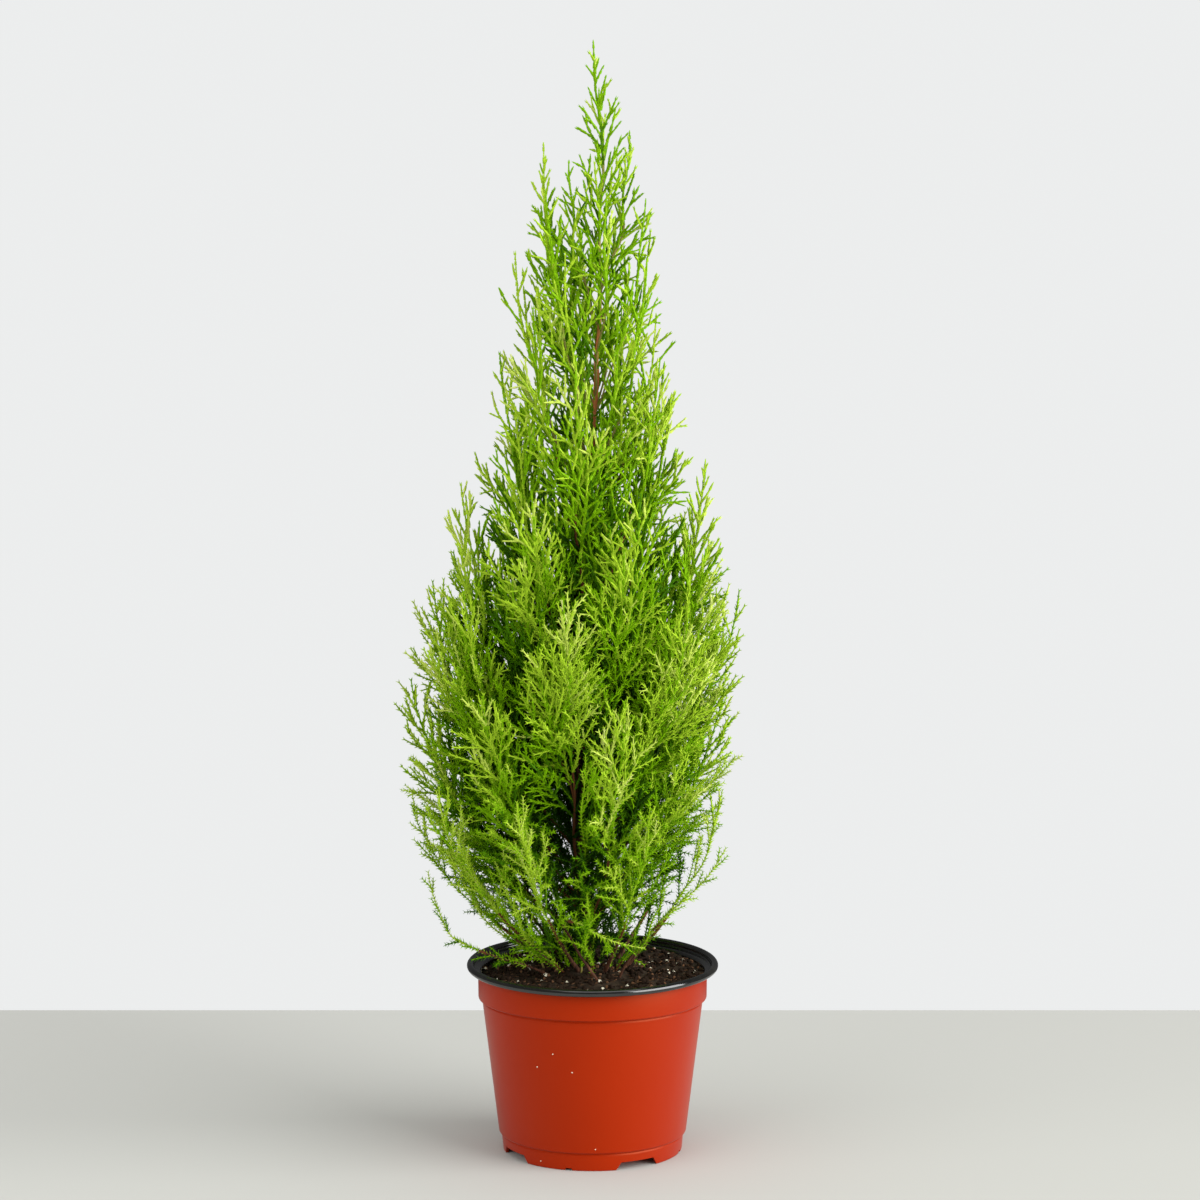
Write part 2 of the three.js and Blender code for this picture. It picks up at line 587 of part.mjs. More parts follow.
// A plume of foliage: one twig with sprays round it by turns and a last spray at its tip.
function plumeSolid(plume, trunkSpace) {
  const random = randomStream(plume.seed * SPRAY_SEED_STEP);
  const { curve, side } = plume;
  const from = plume.stemShare > 0 ? shareAfter(curve, plume.stemShare, FIT_GAP) : 0;
  const footRadius = Math.min(TWIG_RADIUS, TWIG_SHARE_OF_TRUNK * trunkRadius(curve.getPoint(0).z));
  const thickness = plume.onTip ? TRUNK_TIP_RADIUS : footRadius;
  const radiusAt = (share) => between([thickness, TWIG_TIP_RADIUS], share);
  const tipFrom = 1 - Math.min(TIP_SPRAY_MOST, TIP_SPRAY_LENGTH / curve.getLength());
  const twigEnd = between([tipFrom, 1], TWIG_INTO_TIP_SPRAY);
  let solid = limbSolid(curve, side, from, twigEnd, radiusAt, TWIG_SIDES, TWIG_STEPS);
  const leafy = curve.getLength() * (1 - plume.stemShare) * (1 - plume.bare);
  const count = Math.max(2, Math.round(leafy / (SPRAY_SPACING * plume.reach)));
  for (let i = 0; i < count; i += 1) {
    const along = between([plume.bare, 1], (i + FIRST_SPRAY) / count);
    const share = between([plume.stemShare, tipFrom], along);
    const reach = plume.reach * (1 - PLUME_TAPER * (i / count)) * between(SPRAY_SPREAD, random());
    const length = reach / Math.sin(radians(SPRAY_ANGLE));
    const turn = radians(GOLDEN_ANGLE * i) + random();
    const tries = TURNS_TRIED.map((extra) =>
      sideSpray(plume, share, turn + radians(extra), length, random));
    const best = tries.reduce((a, b) => ((b?.size ?? 0) > (a?.size ?? 0) ? b : a), null);
    if (best) solid = solid.add(best.make());
  }
  const tipRoute = (s) => curve.getPoint(Math.min(1, between([tipFrom, 1], s)));
  const tipLength = curve.getLength() * (1 - tipFrom);
  const tipTangent = curve.getTangent(1);
  const face = side.clone().applyAxisAngle(tipTangent, random() * Math.PI);
  face.addScaledVector(tipTangent, -face.dot(tipTangent)).normalize();
  solid = solid.add(spraySolid(plume, tipRoute, face, tipLength, random));
  return plume.stemShare > 0 || plume.onTip ? solid : solid.subtract(trunkSpace);
}

// A stem of its own, from a flat cut on the soil to where its plume begins.
function basalStem({ curve, side, stemShare }) {
  const radiusAt = (share) => between([BASAL_STEM_RADIUS, BASAL_STEM_END_RADIUS], share);
  const stem = limbSolid(curve, side, -STEM_BELOW_SOIL, stemShare, radiusAt, STEM_SIDES, STEM_STEPS);
  return stem.trimByPlane([0, 0, 1], SOIL_TOP + FIT_GAP);
}

function lemonCypress() {
  const plant = new THREE.Group();
  plant.add(namedMesh("pot", potShell(), COLOURS.pot, 0.35));
  plant.add(namedMesh("pot_rim", potRim(), COLOURS.rim, 0.4));
  plant.add(namedMesh("soil", soil(), COLOURS.soil, 1));
  plant.add(namedMesh("trunk", trunkSolid(0), COLOURS.bark, 0.9));
  const trunkSpace = trunkSolid(FIT_GAP);
  PLUMES.forEach((plume, order) => {
    const green = COLOURS.foliage[order % COLOURS.foliage.length];
    plant.add(namedMesh(plume.name, plumeSolid(plume, trunkSpace), green, 0.6));
    if (plume.stemShare > 0) {
      plant.add(namedMesh(`${plume.name}_stem`, basalStem(plume), COLOURS.bark, 0.9));
    }
  });
  return plant;
}

export default lemonCypress();
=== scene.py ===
"""Looks of a potted lemon cypress: the pot, soil and bark as modelled meshes, the crown grown to its leaves.

Sizes are in millimetres, as in the part's source, and become metres where a mesh is made.
"""

import math

import bpy
import numpy as np
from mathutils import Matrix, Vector


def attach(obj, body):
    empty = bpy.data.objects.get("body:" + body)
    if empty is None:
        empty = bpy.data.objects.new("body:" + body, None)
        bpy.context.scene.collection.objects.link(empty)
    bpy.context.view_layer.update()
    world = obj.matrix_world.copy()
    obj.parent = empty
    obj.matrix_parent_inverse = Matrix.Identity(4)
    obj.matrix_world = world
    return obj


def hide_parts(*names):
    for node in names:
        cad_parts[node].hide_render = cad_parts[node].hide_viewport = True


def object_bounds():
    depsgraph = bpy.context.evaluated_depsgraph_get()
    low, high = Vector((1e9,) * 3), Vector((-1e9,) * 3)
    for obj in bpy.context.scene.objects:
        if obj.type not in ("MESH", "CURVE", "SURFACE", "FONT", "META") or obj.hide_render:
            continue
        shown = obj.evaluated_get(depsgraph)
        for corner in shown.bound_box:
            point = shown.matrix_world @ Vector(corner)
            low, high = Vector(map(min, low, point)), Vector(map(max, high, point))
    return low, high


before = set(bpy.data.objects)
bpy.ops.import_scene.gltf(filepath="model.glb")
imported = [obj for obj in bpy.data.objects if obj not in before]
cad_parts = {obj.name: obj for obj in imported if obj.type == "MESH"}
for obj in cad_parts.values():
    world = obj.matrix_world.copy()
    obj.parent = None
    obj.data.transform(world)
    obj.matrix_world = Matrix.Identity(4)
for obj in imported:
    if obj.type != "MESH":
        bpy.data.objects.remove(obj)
CAD_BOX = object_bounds()

MM = 0.001
UP = np.array([0.0, 0.0, 1.0])
TINY = 1e-9
NEARLY_UPRIGHT = 0.95

# The photograph's camera, solved from the ellipses of the pot's rim and foot.
CAMERA_LENS = 84
CAMERA_SENSOR = 36
CAMERA_PLACE = (4.9, -1816, 504.7)
CAMERA_DIP = 4.49

# Floor and light.
FLOOR_WIDTH = 4400
FLOOR_FRONT = -2600
FLOOR_BACK = 401
FLOOR_COLOUR = (0.498, 0.498, 0.467)
WALL_SEEN = (0.84, 0.85, 0.85)
WALL_LIGHT = 0.68
WALL_MIRRORED = 0.12
# Each softbox: name, place, aim and size in metres, power in watts, and whether surfaces mirror it.
SOFTBOXES = (
    ("window", (4.5, -2.2, 1.84), (0, 0, 0.36), (5.2, 4.4), 480, True),
    ("ceiling", (0.1, -0.6, 2.7), (0, 0, 0.4), (2.4, 2.4), 25, True),
    ("left_fill", (-2.0, -1.5, 1.0), (0, 0, 0.3), (2.4, 2.0), 32, False),
)

# Pot and rim.
POT_SIDES = 144
POT_WALL = 1.2
POT_DRAFT = 0.4
POT_ROUNDING = 0.9
POT_SHARP_ANGLE = 28
ROUNDING_STEPS = 4
ROUNDING_ROOM = 0.45
FIT_GAP = 0.3
RIM_RADIUS = 82.5
RIM_TOP = 124.5
RIM_ROLL = 2.3
RIM_ROLL_ANGLES = (-90, 200)
RIM_ROLL_STEPS = 20
RIM_LIP_WIDTH = 1.2
RIM_LIP_DROP = 4.0
RIM_LIP_SLOPE = 0.6
RIM_LIP_DEPTH = 5.9
RIM_ROUNDING = 0.8
RIM_SHARP_ANGLE = 40
RIM_DIP = 2.2
BAND_RADIUS = 75.2
BAND_FOOT = 101
BAND_STEP = 2.8
BAND_STEP_HEIGHT = 3.4
BAND_DRAFT = 0.2
CREASE_DEPTH = 0.5
CREASE_HEIGHT = 1.1
BAND_INNER = BAND_RADIUS - POT_WALL
BODY_INNER_TOP = BAND_FOOT - BAND_STEP_HEIGHT + POT_WALL
SHELL_TOP = 119
FOOT_RADIUS = 58.8
FOOT_DRAFT = 1
FOOT_TOP = 10
FOOT_STEP = 1.8
FOOT_STEP_HEIGHT = 3
PAD_RADIUS = 44
PAD_WALL_SHIFT = 0.8
CHANNEL_HEIGHT = 5.8
CHANNEL_SLOPE = 3
FEET = 4
FRONT_FOOT_TURN = -15
FOOT_GAP_ANGLE = 29
FOOT_GAP_TOP_ANGLE = 23
FOOT_GAP_HEIGHT = 5.2
FOOT_NICK_WIDTH = 5
FOOT_NICK_TOP_WIDTH = 4
FOOT_NICK_HEIGHT = 1.6
NOTCH_DEPTH = 22
NOTCH_BELOW = 2
COLLAR_FOOT = 113.2
COLLAR_WALL = 0.9
COLLAR_ROOM = 6
# The wall's radius by height, from the floor to the band.
WALL_RADIUS = (
    (0, FOOT_RADIUS),
    (FOOT_TOP, FOOT_RADIUS + FOOT_DRAFT),
    (FOOT_TOP + FOOT_STEP_HEIGHT, FOOT_RADIUS + FOOT_DRAFT + FOOT_STEP),
    (BAND_FOOT - BAND_STEP_HEIGHT, BAND_RADIUS - BAND_STEP),
)
# Specks of perlite on the pot's wall: direction from the front and height.
SPECKS = ((-30.8, 68), (-21.1, 77.7), (-10.8, 66.4), (1.8, 15.2), (-34, 4), (140, 52), (205, 71), (96, 33))
SPECK_RADIUS = 0.55

# Soil. Its lumps: size, share and seed of each wave, and their height by the distance from the axis.
SOIL_TOP = 116
SOIL_GAP = 0.4
SOIL_RADIUS = 72.6
SOIL_WALL_HEIGHT = 117
SOIL_TILT = (0.022, 0.022)
SOIL_RINGS = 64
SOIL_ROUGHNESS = 2.1
SOIL_LUMPS = ((19, 1.0, 1), (8, 0.8, 2), (3.5, 0.5, 3))
SOIL_LUMP_SHARE = ((0, 0.8), (62, 1), (SOIL_RADIUS, 0.5))
SOIL_SHARP_ANGLE = 60
SOIL_MOUND = 6.5
SOIL_MOUND_PLACE = (-12, 8)
SOIL_MOUND_RADIUS = 36
SOIL_SCATTER_RADIUS = 71.2
SOIL_PATCH_CELLS = 56
NOISE_GRID = 64
# What is strewn on the soil: grains a square metre, their sizes in metres, their lift by size, their dents.
CRUMBS = {"Density": 60000, "Smallest": 0.6 * MM, "Largest": 2.6 * MM, "Lift": 0.25, "Dents": 2.2 * MM}
RED_CRUMBS = {"Density": 75000, "Smallest": 0.35 * MM, "Largest": 1.6 * MM, "Lift": 0.5, "Dents": 1.6 * MM}
PALE_CRUMBS = {"Density": 15000, "Smallest": 0.35 * MM, "Largest": 1.2 * MM, "Lift": 0.7, "Dents": 1.2 * MM}
PERLITE = {"Density": 5200, "Smallest": 0.6 * MM, "Largest": 2.1 * MM, "Lift": 0.6, "Dents": 1.5 * MM}
PERLITE_GRIT = {"Density": 13000, "Smallest": 0.35 * MM, "Largest": 0.8 * MM, "Lift": 0.8, "Dents": 0.6 * MM}
FIBRES = {"Density": 42000, "Smallest": 1.8 * MM, "Largest": 5.5 * MM, "Lift": 0.12, "Dents": 1.4 * MM}
# A grain is a flattened ball that lies any way up, a fibre a thin three-sided rod that lies nearly flat.
GRAIN_SHAPE = (1.0, 0.85, 0.75)
GRAIN_TURNS = ((0, 0, 0), (6.28, 6.28, 6.28))
FIBRE_SIDES = 3
FIBRE_RADIUS = 0.045
FIBRE_LENGTH = 2.0
FIBRE_TURNS = ((1.35, -0.1, 0), (1.75, 0.1, 6.28))
TURN_SEED = 3
SIZE_SEED = 4
DENT_SCALE = 900.0
DENT_DETAIL = 2.0
NOISE_MIDDLE = (0.5, 0.5, 0.5)

# Trunk and stems.
PLANT_HEIGHT = 720
TRUNK_SWAY = (-3, -27, 20, 0.6)
TRUNK_DEPTH_SWAY = (2, 10, -8, 1)
TRUNK_TIP_HEIGHT = 575
TRUNK_FOOT_RADIUS = 4.4
TRUNK_TIP_RADIUS = 1.1
TRUNK_TAPER_POWER = 0.8
TRUNK_POINTS = 160
ROOT_FLARE = 2.2
ROOT_FLARE_HEIGHT = 9
TRUNK_SIDES = 26
TRUNK_RING_STEP = 1.6
TRUNK_SEED = 21
BASAL_STEM_RADIUS = 1.45
BASAL_STEM_END_RADIUS = 1.1
STEM_POINTS = 40
STEM_SIDES = 14
STEM_RING_STEP = 1.4
STEM_SEED = 40
STEM_SEED_STEP = 3
STEM_SHARE = 0.3
STEM_RING = (15, 22)
STEM_WOBBLE = 0.7
STEM_WOBBLE_LENGTH = 14
STEM_WOBBLE_START = 10
STEM_FOOT_DEPTH = 4
FEWEST_RINGS = 4
SPRIG_STEM_SHARE = 0.6
PLUME_STEM_RADIUS = 1.15
PLUME_STEM_END_RADIUS = 0.75
BETWEEN_STEM_RADIUS = 0.7
FRESH_STEM_HEIGHT = 430
# The bark's relief by share of the radius. Its ridges and knots: width in sides, length, and share of each.
BARK_RELIEF = 0.16
BARK_WAVES = ((1.7, 13, 1.0), (1.1, 5, 0.6), (5, 9, 0.8))
BARK_SHARP_ANGLE = 70
# The bark's rings start square to this direction, which no stem takes.
RING_START = (0.0, 1.0, 0.05)
# Heights between which the old bark turns red, and the red bark young.
RED_BARK_HEIGHTS = (430, 490)
YOUNG_BARK_HEIGHTS = (530, 560)

# Growth rule of the plumes, as in the part's source.
SEED = 45
STREAM_RANGE = 2 ** 32
STREAM_START = 2654435761
STREAM_FACTOR = 1664525
STREAM_STEP = 1013904223
FOOT_HEIGHT_STEP = 6
FOOT_ORDER_STEP = 3
DIRECTION_SPREAD = 8
TIP_HEIGHT_SPREAD = 22
CROWN_SHARE = (0.97, 1.02)
BOW_FROM_TRUNK = (0.42, 0.2, 0.9, 0.55)
BOW_FROM_SOIL = (0.3, 0.2, 0.9, 0.55)
BOW_OF_LEADER = (0.6, 0.2, 0.95, 0.55)
CROWN_RADIUS = ((116, 24), (150, 58), (200, 94), (240, 105), (330, 104), (375, 99),
                (440, 78), (468, 62), (540, 54), (600, 46), (655, 28), (720, 0))
CROWN_CENTRE = ((116, -4), (200, -14), (240, -18), (330, -15), (375, -3), (440, -6),
                (600, -3), (720, 0))
# Each tier: name, tip height, foot height, reach of its sprays, bare share of its stems, directions.
TIERS = (
    ("skirt", 236, 116, 30, 0.1, (181, 222, 256, 303, 350, 34, 84, 132)),
    ("flank", 314, 138, 32, 0.36, (184, 240, 291, 358, 60, 120)),
    ("waist", 368, 178, 32, 0.36, (178, 220, 262, 2, 88, 310)),
    ("shoulder", 443, 236, 31, 0.34, (180, 245, 295, 50, 118)),
    ("column", 516, 330, 29, 0.22, (176, 262, 326, 20, 95)),
    ("crest", 590, 424, 27, 0.18, (186, 250, 320, 20, 100)),
)
# Each side leader: name, foot height, tip, reach.
SIDE_LEADERS = (
    ("second_leader", 482, (-31.5, 4, 655), 22),
    ("third_leader", 540, (-15, -9, 643), 15),
    ("side_leader", 562, (24, 5, 663), 21),
    ("right_spire", 262, (73, -4, 452), 26),
)
LEADER_BARE = 0.2
TOP_REACH = 17
# Each sprig: name, reach, share of its way that is stem, guide points of its way.
SPRIGS = (
    ("left_sprig", 14, 0.42, ((-24, -16, 116), (-60, -26, 138), (-100, -30, 128), (-106, -28, 188))),
    ("right_sprig", 15, 0.4, ((17, -20, 116), (32, -28, 152), (66, -34, 170), (86, -30, 204))),
    ("front_sprig", 17, 0.5, ((5, -36, 116), (-44, -48, 192), (-8, -72, 152), (33, -60, 145))),
)
SPRIG_BARE = 0.16

# The rule carried on: plumes between the plumes, a fringe below them and a tier above.
BETWEEN_SHARE = (0.84, 0.95)
BETWEEN_LIFT = 8
BETWEEN_SEED = SEED + 1000
FRINGE_TIP = 190
TOP_TIP = 640
TOP_FOOT = 500
PLUME_POINTS = 36
SAMPLE_POINTS = 30
STEM_BARE = 0.07
STEM_SWAY = 2.2
STEM_SWAY_TURNS = (1.2, 2.2)
# Shoots from the soil among the stems: how many, their middle, rings at foot and tip, heights of their tips.
BASAL_SHOOTS = 24
BASAL_SEED = SEED + 2000
BASAL_MIDDLE = (-9, 2, 0)
BASAL_FOOT_RING = (5, 22)
BASAL_TIP_RING = (9, 44)
BASAL_TIP_HEIGHT = (142, 188)
BASAL_REACH = 14
BASAL_BARE = 0.1
BASAL_FRONT_SHARE = 0.6
# A plume's own stem: its leafless points at the foot, its brown ones, and its middle tone.
STEM_RULES = {"basal": (4, 4, 1.7), "sprigs": (4, 4, 2.8), "skirt": (5, 9, 2.3)}
OTHER_STEMS = (PLUME_POINTS // 2, PLUME_POINTS // 2, 2.3)
STEM_TONE_SPREAD = 0.4
STEM_STOUTNESS = 1.15

# Laterals on the plumes' stems. Tables run over height.
GOLDEN_ANGLE = math.radians(137.5)
SPRAY_ANGLE = math.radians(27)
SPRAY_STRAIGHTENING = (-0.14, 0.12)
PLUME_TAPER = 0.45
BARE_LEFT = 0.45
SKIRT_BARE = 0.12
LATERAL_POINTS = 7
LATERAL_SIZES = (1.0, 0.84, 0.7, 0.56, 0.44, 0.34)
LATERAL_TEST_POINTS = 21
LATERAL_TESTS = (7, 12, 16, 20)
LATERAL_SPACING = ((150, 5.4), (235, 6.3), (285, 7.6), (350, 8.8), (430, 11), (510, 17), (600, 17))
LATERAL_ANGLES = ((150, 32), (350, 33), (480, 33), (580, 35), (690, 28))
LATERAL_ANGLE_SPREAD = 8
LATERAL_TURN_SPREAD = 0.5
LATERAL_RISE = ((150, -0.05), (300, 0.16), (500, 0.14), (580, 0.0))
LATERAL_STOUTNESS = 1.2
SHORTEST_LATERAL = 7
LATERAL_BARE_TIP = 3.0
LEADER_SPACING = 3.8
LEADER_ANGLE = 33
LEADER_ANGLE_SHARE = 0.5
LEADER_BARE_TIP = 5
SHORTEST_ON_LEADER = 3.5
SPRIG_SPACING = 8
# The inside of the crown, on the trunk: first point, point where it thins out, spacing below and above it.
INNER_START = 4
INNER_DENSE_POINTS = 110
INNER_SPACINGS = (2.8, 6.0)
# Wished lengths near a tip: share of the stem that is left, and what is added to it. A sprig's laterals also
# shorten from their longest by so much, and those on the trunk by the table.
PLUME_TIP_RULE = (0.52, 4)
LEADER_TIP_RULE = (0.36, 1.2)
SPRIG_TIP_RULE = (0.5, 4)
SPRIG_SPRAY = (16, 6)
INNER_SPRAY = ((0, 60), (0.5, 54), (1, 36))
LENGTH_SPREAD = (0.8, 1.15)
BEND_SPREAD = 0.06
# Room for the foliage: what neighbours share, slack at the outline, clearance of trunk and pot.
SPACE_SHARED = ((130, 38), (240, 14), (400, 12))
OUTLINE_SLACK = ((140, 2), (180, 4), (270, 4))
OUTLINE_SPREAD = (-5, 4)
LEAST_CROWN = 12
TRUNK_ROOM = 5
POT_MARGIN = 2.0
REACH_SLACK = 2
# The crown's foot is slimmer on the right, where the soil shows.
RIGHT_TRIM = ((140, 16), (200, 8), (260, 0))
RIGHT_TRIM_REACH = 60
# Openings in the crown's front: middle x, half width, low and high z. There the trunk shows.
OPENINGS = ((3, 3.6, 480, 538), (-11, 6.5, 212, 270))
OPENING_FRONT = -8

# Foliage by age: young needles below, awl leaves in the middle, scale leaves above.
YOUNG_HEIGHT = 200
GROWN_HEIGHT = 450
KINDS = ("needles", "awl_leaves", "scale_leaves")
KIND_STEPS = (0.12, 0.66)
KIND_SPREAD = 0.07
# Shoots of each kind: spacing, share of the lateral that is left, least and greatest length, angles.
SHOOT_RULES = (
    (7.5, 0.52, 8, 32, (28, 42)),
    (5.8, 0.56, 9, 30, (27, 37)),
    (6.1, 0.52, 6, 24, (32, 43)),
)
SHOOT_POINTS = (4, 3, 3)
SHOOT_ENDS = (6.0, 2.0)
SHOOT_LENGTH_SPREAD = (0.8, 1.1)
SHOOT_RISE = ((150, -0.15), (300, 0.1), (500, 0.08), (580, -0.06))
# Sprays are flat: their shoots and twigs leave to the left and right, but for this spread.
HAND_SPREAD = 0.36
FACING_RISE = 12
# Twigs on shoots that are longer than this, by kind: none on the needles' shoots.
TWIG_ON_SHOOT = np.array([99, 21, 13])
TWIG_SPACING = 6.2
TWIG_ENDS = (4.5, 2.5)
TWIG_POINTS = 3
TWIG_SHARE = 0.5
TWIG_BASE_LENGTH = 3
TWIG_LENGTHS = (4, 10)
TWIG_ANGLES = (34, 46)
TWIG_BEND_SPREAD = 0.05
TWIG_LEAF_SIZE = 0.94
STATION_SPREAD = (0.15, 0.85)
# Radius of the green cord under each kind of leaf, and its share at the tip.
CORD_RADII = np.array([0.5, 0.7, 0.76])
CORD_END_SHARE = 0.7

# Tones, which pick among the greens: deep inside the crown and at its outline, by height. The low tones deep
# inside and low in the crown are painted shade; the high ones at the outline are partly painted light and
# partly the young growth's own paler colour. LIT_SHARES tells how far a place is from the one to the other,
# by its share of the crown.
INSIDE_TONES = ((180, -0.9), (330, 0.2), (400, 1.1), (480, 1.6), (560, 1.8), (640, 2.2))
OUTSIDE_TONES = ((140, 1.3), (170, 2.0), (230, 3.05), (330, 3.15), (420, 3.4), (600, 2.65))
LIT_SHARES = ((0.4, 0), (0.9, 1))
LATERAL_TONE_SPREAD = 0.4
SHOOT_TONE_SPREAD = 0.3
TONE_ALONG_LATERAL = 0.6
TONE_OF_TWIG = 0.2
NEEDLE_CORD_PALER = 0.8
# The darkest cords above the needles, deep inside, are bare of leaves and stouter.
LEAFY_TONE = 1
BARE_STOUTNESS = 2.0

# Leaves of each kind: how many stand in a ring, each ring's turn from the last, and their sizes.
LEAF_RULES = (
    (3, math.pi / 3, {"Leaf Length": 3.0 * MM, "Leaf Width": 0.45 * MM, "Leaf Spacing": 2.2 * MM,
                      "Leaf Angle": math.radians(52), "Stand Off": 0.18 * MM}),
    (3, math.pi / 3, {"Leaf Length": 2.9 * MM, "Leaf Width": 0.66 * MM, "Leaf Spacing": 4.1 * MM,
                      "Leaf Angle": math.radians(37), "Stand Off": 0.3 * MM}),
    (2, math.pi / 2, {"Leaf Length": 3.4 * MM, "Leaf Width": 0.84 * MM, "Leaf Spacing": 3.2 * MM,
                      "Leaf Angle": math.radians(9), "Stand Off": 0.27 * MM}),
)
LEAF_SIDES = 3
LEAF_TAPER = ((0, 1), (0.7, 1), (1, 0.75))
LEAF_SPIN = (-0.3, 0.3)
LEAF_SPIN_SEED = 5
LEAF_SIZES = (0.82, 1.18)
LEAF_SIZE_SEED = 6
LEAF_FIELDS = {"leaf_size": "FLOAT", "tint": "INT"}
TWIG_FIELDS = {"radius": "FLOAT", "tint": "INT"}
TWIG_SIDES = {"twigs": 6, "shoots": 3}


# Materials.

def principled(name, **values):
    """A material with one Principled shader, plain values set on its own sockets."""
    material = bpy.data.materials.new(name)
    material.use_nodes = True
    shader = material.node_tree.nodes["Principled BSDF"]
    for socket, value in values.items():
        shader.inputs[socket.replace("_", " ")].default_value = value
    return material, shader


def plain(name, colour, roughness, specular):
    return principled(name, Base_Color=(*colour, 1), Roughness=roughness, Specular_IOR_Level=specular)[0]


def crumb(name, colour):
    return plain(name, colour, roughness=0.95, specular=0.15)


def patterned(name, **values):
    """A material to paint: itself, its shader, its node tree and its object coordinates."""
    material, shader = principled(name, **values)
    tree = material.node_tree
    return material, shader, tree, add(tree, "ShaderNodeTexCoord").outputs["Object"]


def add(tree, kind, links=None, **settings):
    """A node of a tree. links gives its inputs by name or place, as sockets to join or as plain values."""
    node = tree.nodes.new(kind)
    for key, value in settings.items():
        setattr(node, key, value)
    for key, value in (links or {}).items():
        if isinstance(value, bpy.types.NodeSocket):
            tree.links.new(value, node.inputs[key])
        else:
            node.inputs[key].default_value = value
    return node


def ramp(tree, factor, stops):
    """A colour that runs through stops of place and colour."""
    node = add(tree, "ShaderNodeValToRGB", {"Fac": factor})
    elements = node.color_ramp.elements
    while len(elements) < len(stops):
        elements.new(0.5)
    for element, (place, colour) in zip(elements, stops):
        element.position = place
        element.color = (*colour, 1)
    return node.outputs["Color"]


def noise(tree, coordinates, scale, detail, stretch=(1, 1, 1)):
    place = add(tree, "ShaderNodeMapping", {"Vector": coordinates, "Scale": stretch}).outputs["Vector"]
    return add(tree, "ShaderNodeTexNoise", {"Vector": place, "Scale": scale, "Detail": detail}).outputs["Fac"]


def bump(tree, shader, height, strength, distance):
    node = add(tree, "ShaderNodeBump", {"Height": height, "Strength": strength, "Distance": distance})
    tree.links.new(node.outputs["Normal"], shader.inputs["Normal"])


def pot_plastic():
    material, shader, tree, place = patterned(
        "terracotta_plastic", Roughness=0.38, Specular_IOR_Level=0.42, Specular_Tint=(1, 0.46, 0.22, 1))
    cloud = noise(tree, place, scale=14, detail=1)
    tone = ramp(tree, cloud, ((0, (0.3, 0.0125, 0.0)), (1, (0.335, 0.0165, 0.0))))
    tree.links.new(tone, shader.inputs["Base Color"])
    bump(tree, shader, noise(tree, place, scale=60, detail=1), strength=0.05, distance=0.002)
    return material


def rim_plastic():
    material, shader, tree, place = patterned("black_plastic", Roughness=0.13, Specular_IOR_Level=0.85)
    dust = noise(tree, place, scale=45, detail=4)
    tone = ramp(tree, dust, ((0.4, (0.004, 0.004, 0.004)), (0.8, (0.016, 0.015, 0.012))))
    tree.links.new(tone, shader.inputs["Base Color"])
    return material


def peat():
    material, shader, tree, place = patterned("peat", Roughness=0.95, Specular_IOR_Level=0.2)
    grain = noise(tree, place, scale=260, detail=6)
    tone = ramp(tree, grain, (
        (0.3, (0.012, 0.008, 0.004)),
        (0.55, (0.035, 0.023, 0.013)),
        (0.8, (0.075, 0.05, 0.03)),
    ))
    tree.links.new(tone, shader.inputs["Base Color"])
    bump(tree, shader, noise(tree, place, scale=420, detail=5), strength=0.8, distance=0.001)
    return material


def bark():
    """Fibrous bark, dark brown on the old wood, then red, then the tan green of this year's growth."""
    material, shader, tree, place = patterned("bark", Roughness=0.8, Specular_IOR_Level=0.2)
    fibres = noise(tree, place, scale=420, detail=5, stretch=(1, 1, 0.12))
    tone = ramp(tree, fibres, (
        (0.3, (0.03, 0.013, 0.008)),
        (0.55, (0.1, 0.04, 0.02)),
        (0.8, (0.2, 0.09, 0.045)),
    ))
    red = ramp(tree, fibres, ((0.3, (0.36, 0.09, 0.028)), (0.7, (0.62, 0.22, 0.075))))
    young = ramp(tree, fibres, ((0.3, (0.16, 0.15, 0.035)), (0.7, (0.3, 0.27, 0.08))))
    height = add(tree, "ShaderNodeSeparateXYZ", {"Vector": place}).outputs["Z"]
    # The colours of a mix node are its inputs 6 and 7 and its output 2.
    for (low, high), upper in ((RED_BARK_HEIGHTS, red), (YOUNG_BARK_HEIGHTS, young)):
        share = add(tree, "ShaderNodeMapRange",
                    {"Value": height, "From Min": low * MM, "From Max": high * MM})
        tone = add(tree, "ShaderNodeMix", {"Factor": share.outputs["Result"], 6: tone, 7: upper},
                   data_type="RGBA").outputs[2]
    tree.links.new(tone, shader.inputs["Base Color"])
    bump(tree, shader, fibres, strength=0.7, distance=0.0006)
    return material


# Greens from the crown's inside to its young tips, dealt out by spray, and the twigs' browns. The dark greens
# are painted shade inside the crown; the pale ones are partly the young tips' own colour and partly painted
# light at the outline.
TINTS = tuple(plain(name, colour, roughness=0.55, specular=0.06) for name, colour in (
    ("leaf_deep_shade", (0.013, 0.046, 0.001)),
    ("leaf_shade", (0.058, 0.17, 0.001)),
    ("leaf_green", (0.18, 0.38, 0.002)),
    ("leaf_fresh_and_lit", (0.33, 0.51, 0.022)),
    ("leaf_lemon", (0.48, 0.605, 0.09)),
    ("leaf_young_and_lit", (0.6, 0.68, 0.2)),
    ("twig_brown", (0.13, 0.048, 0.02)),
    ("twig_tan", (0.26, 0.23, 0.06)),
))
GREENS = 6
BROWN, TAN = 6, 7


# Meshes.

def mesh_piece(name, points, faces, material=None):
    """An object at the origin from points in millimetres."""
    mesh = bpy.data.meshes.new(name)
    mesh.from_pydata(np.asarray(points) * MM, (), faces)
    if material:
        mesh.materials.append(material)
    return placed_piece(name, mesh)


def placed_piece(name, mesh):
    piece = bpy.data.objects.new(name, mesh)
    bpy.context.collection.objects.link(piece)
    return piece


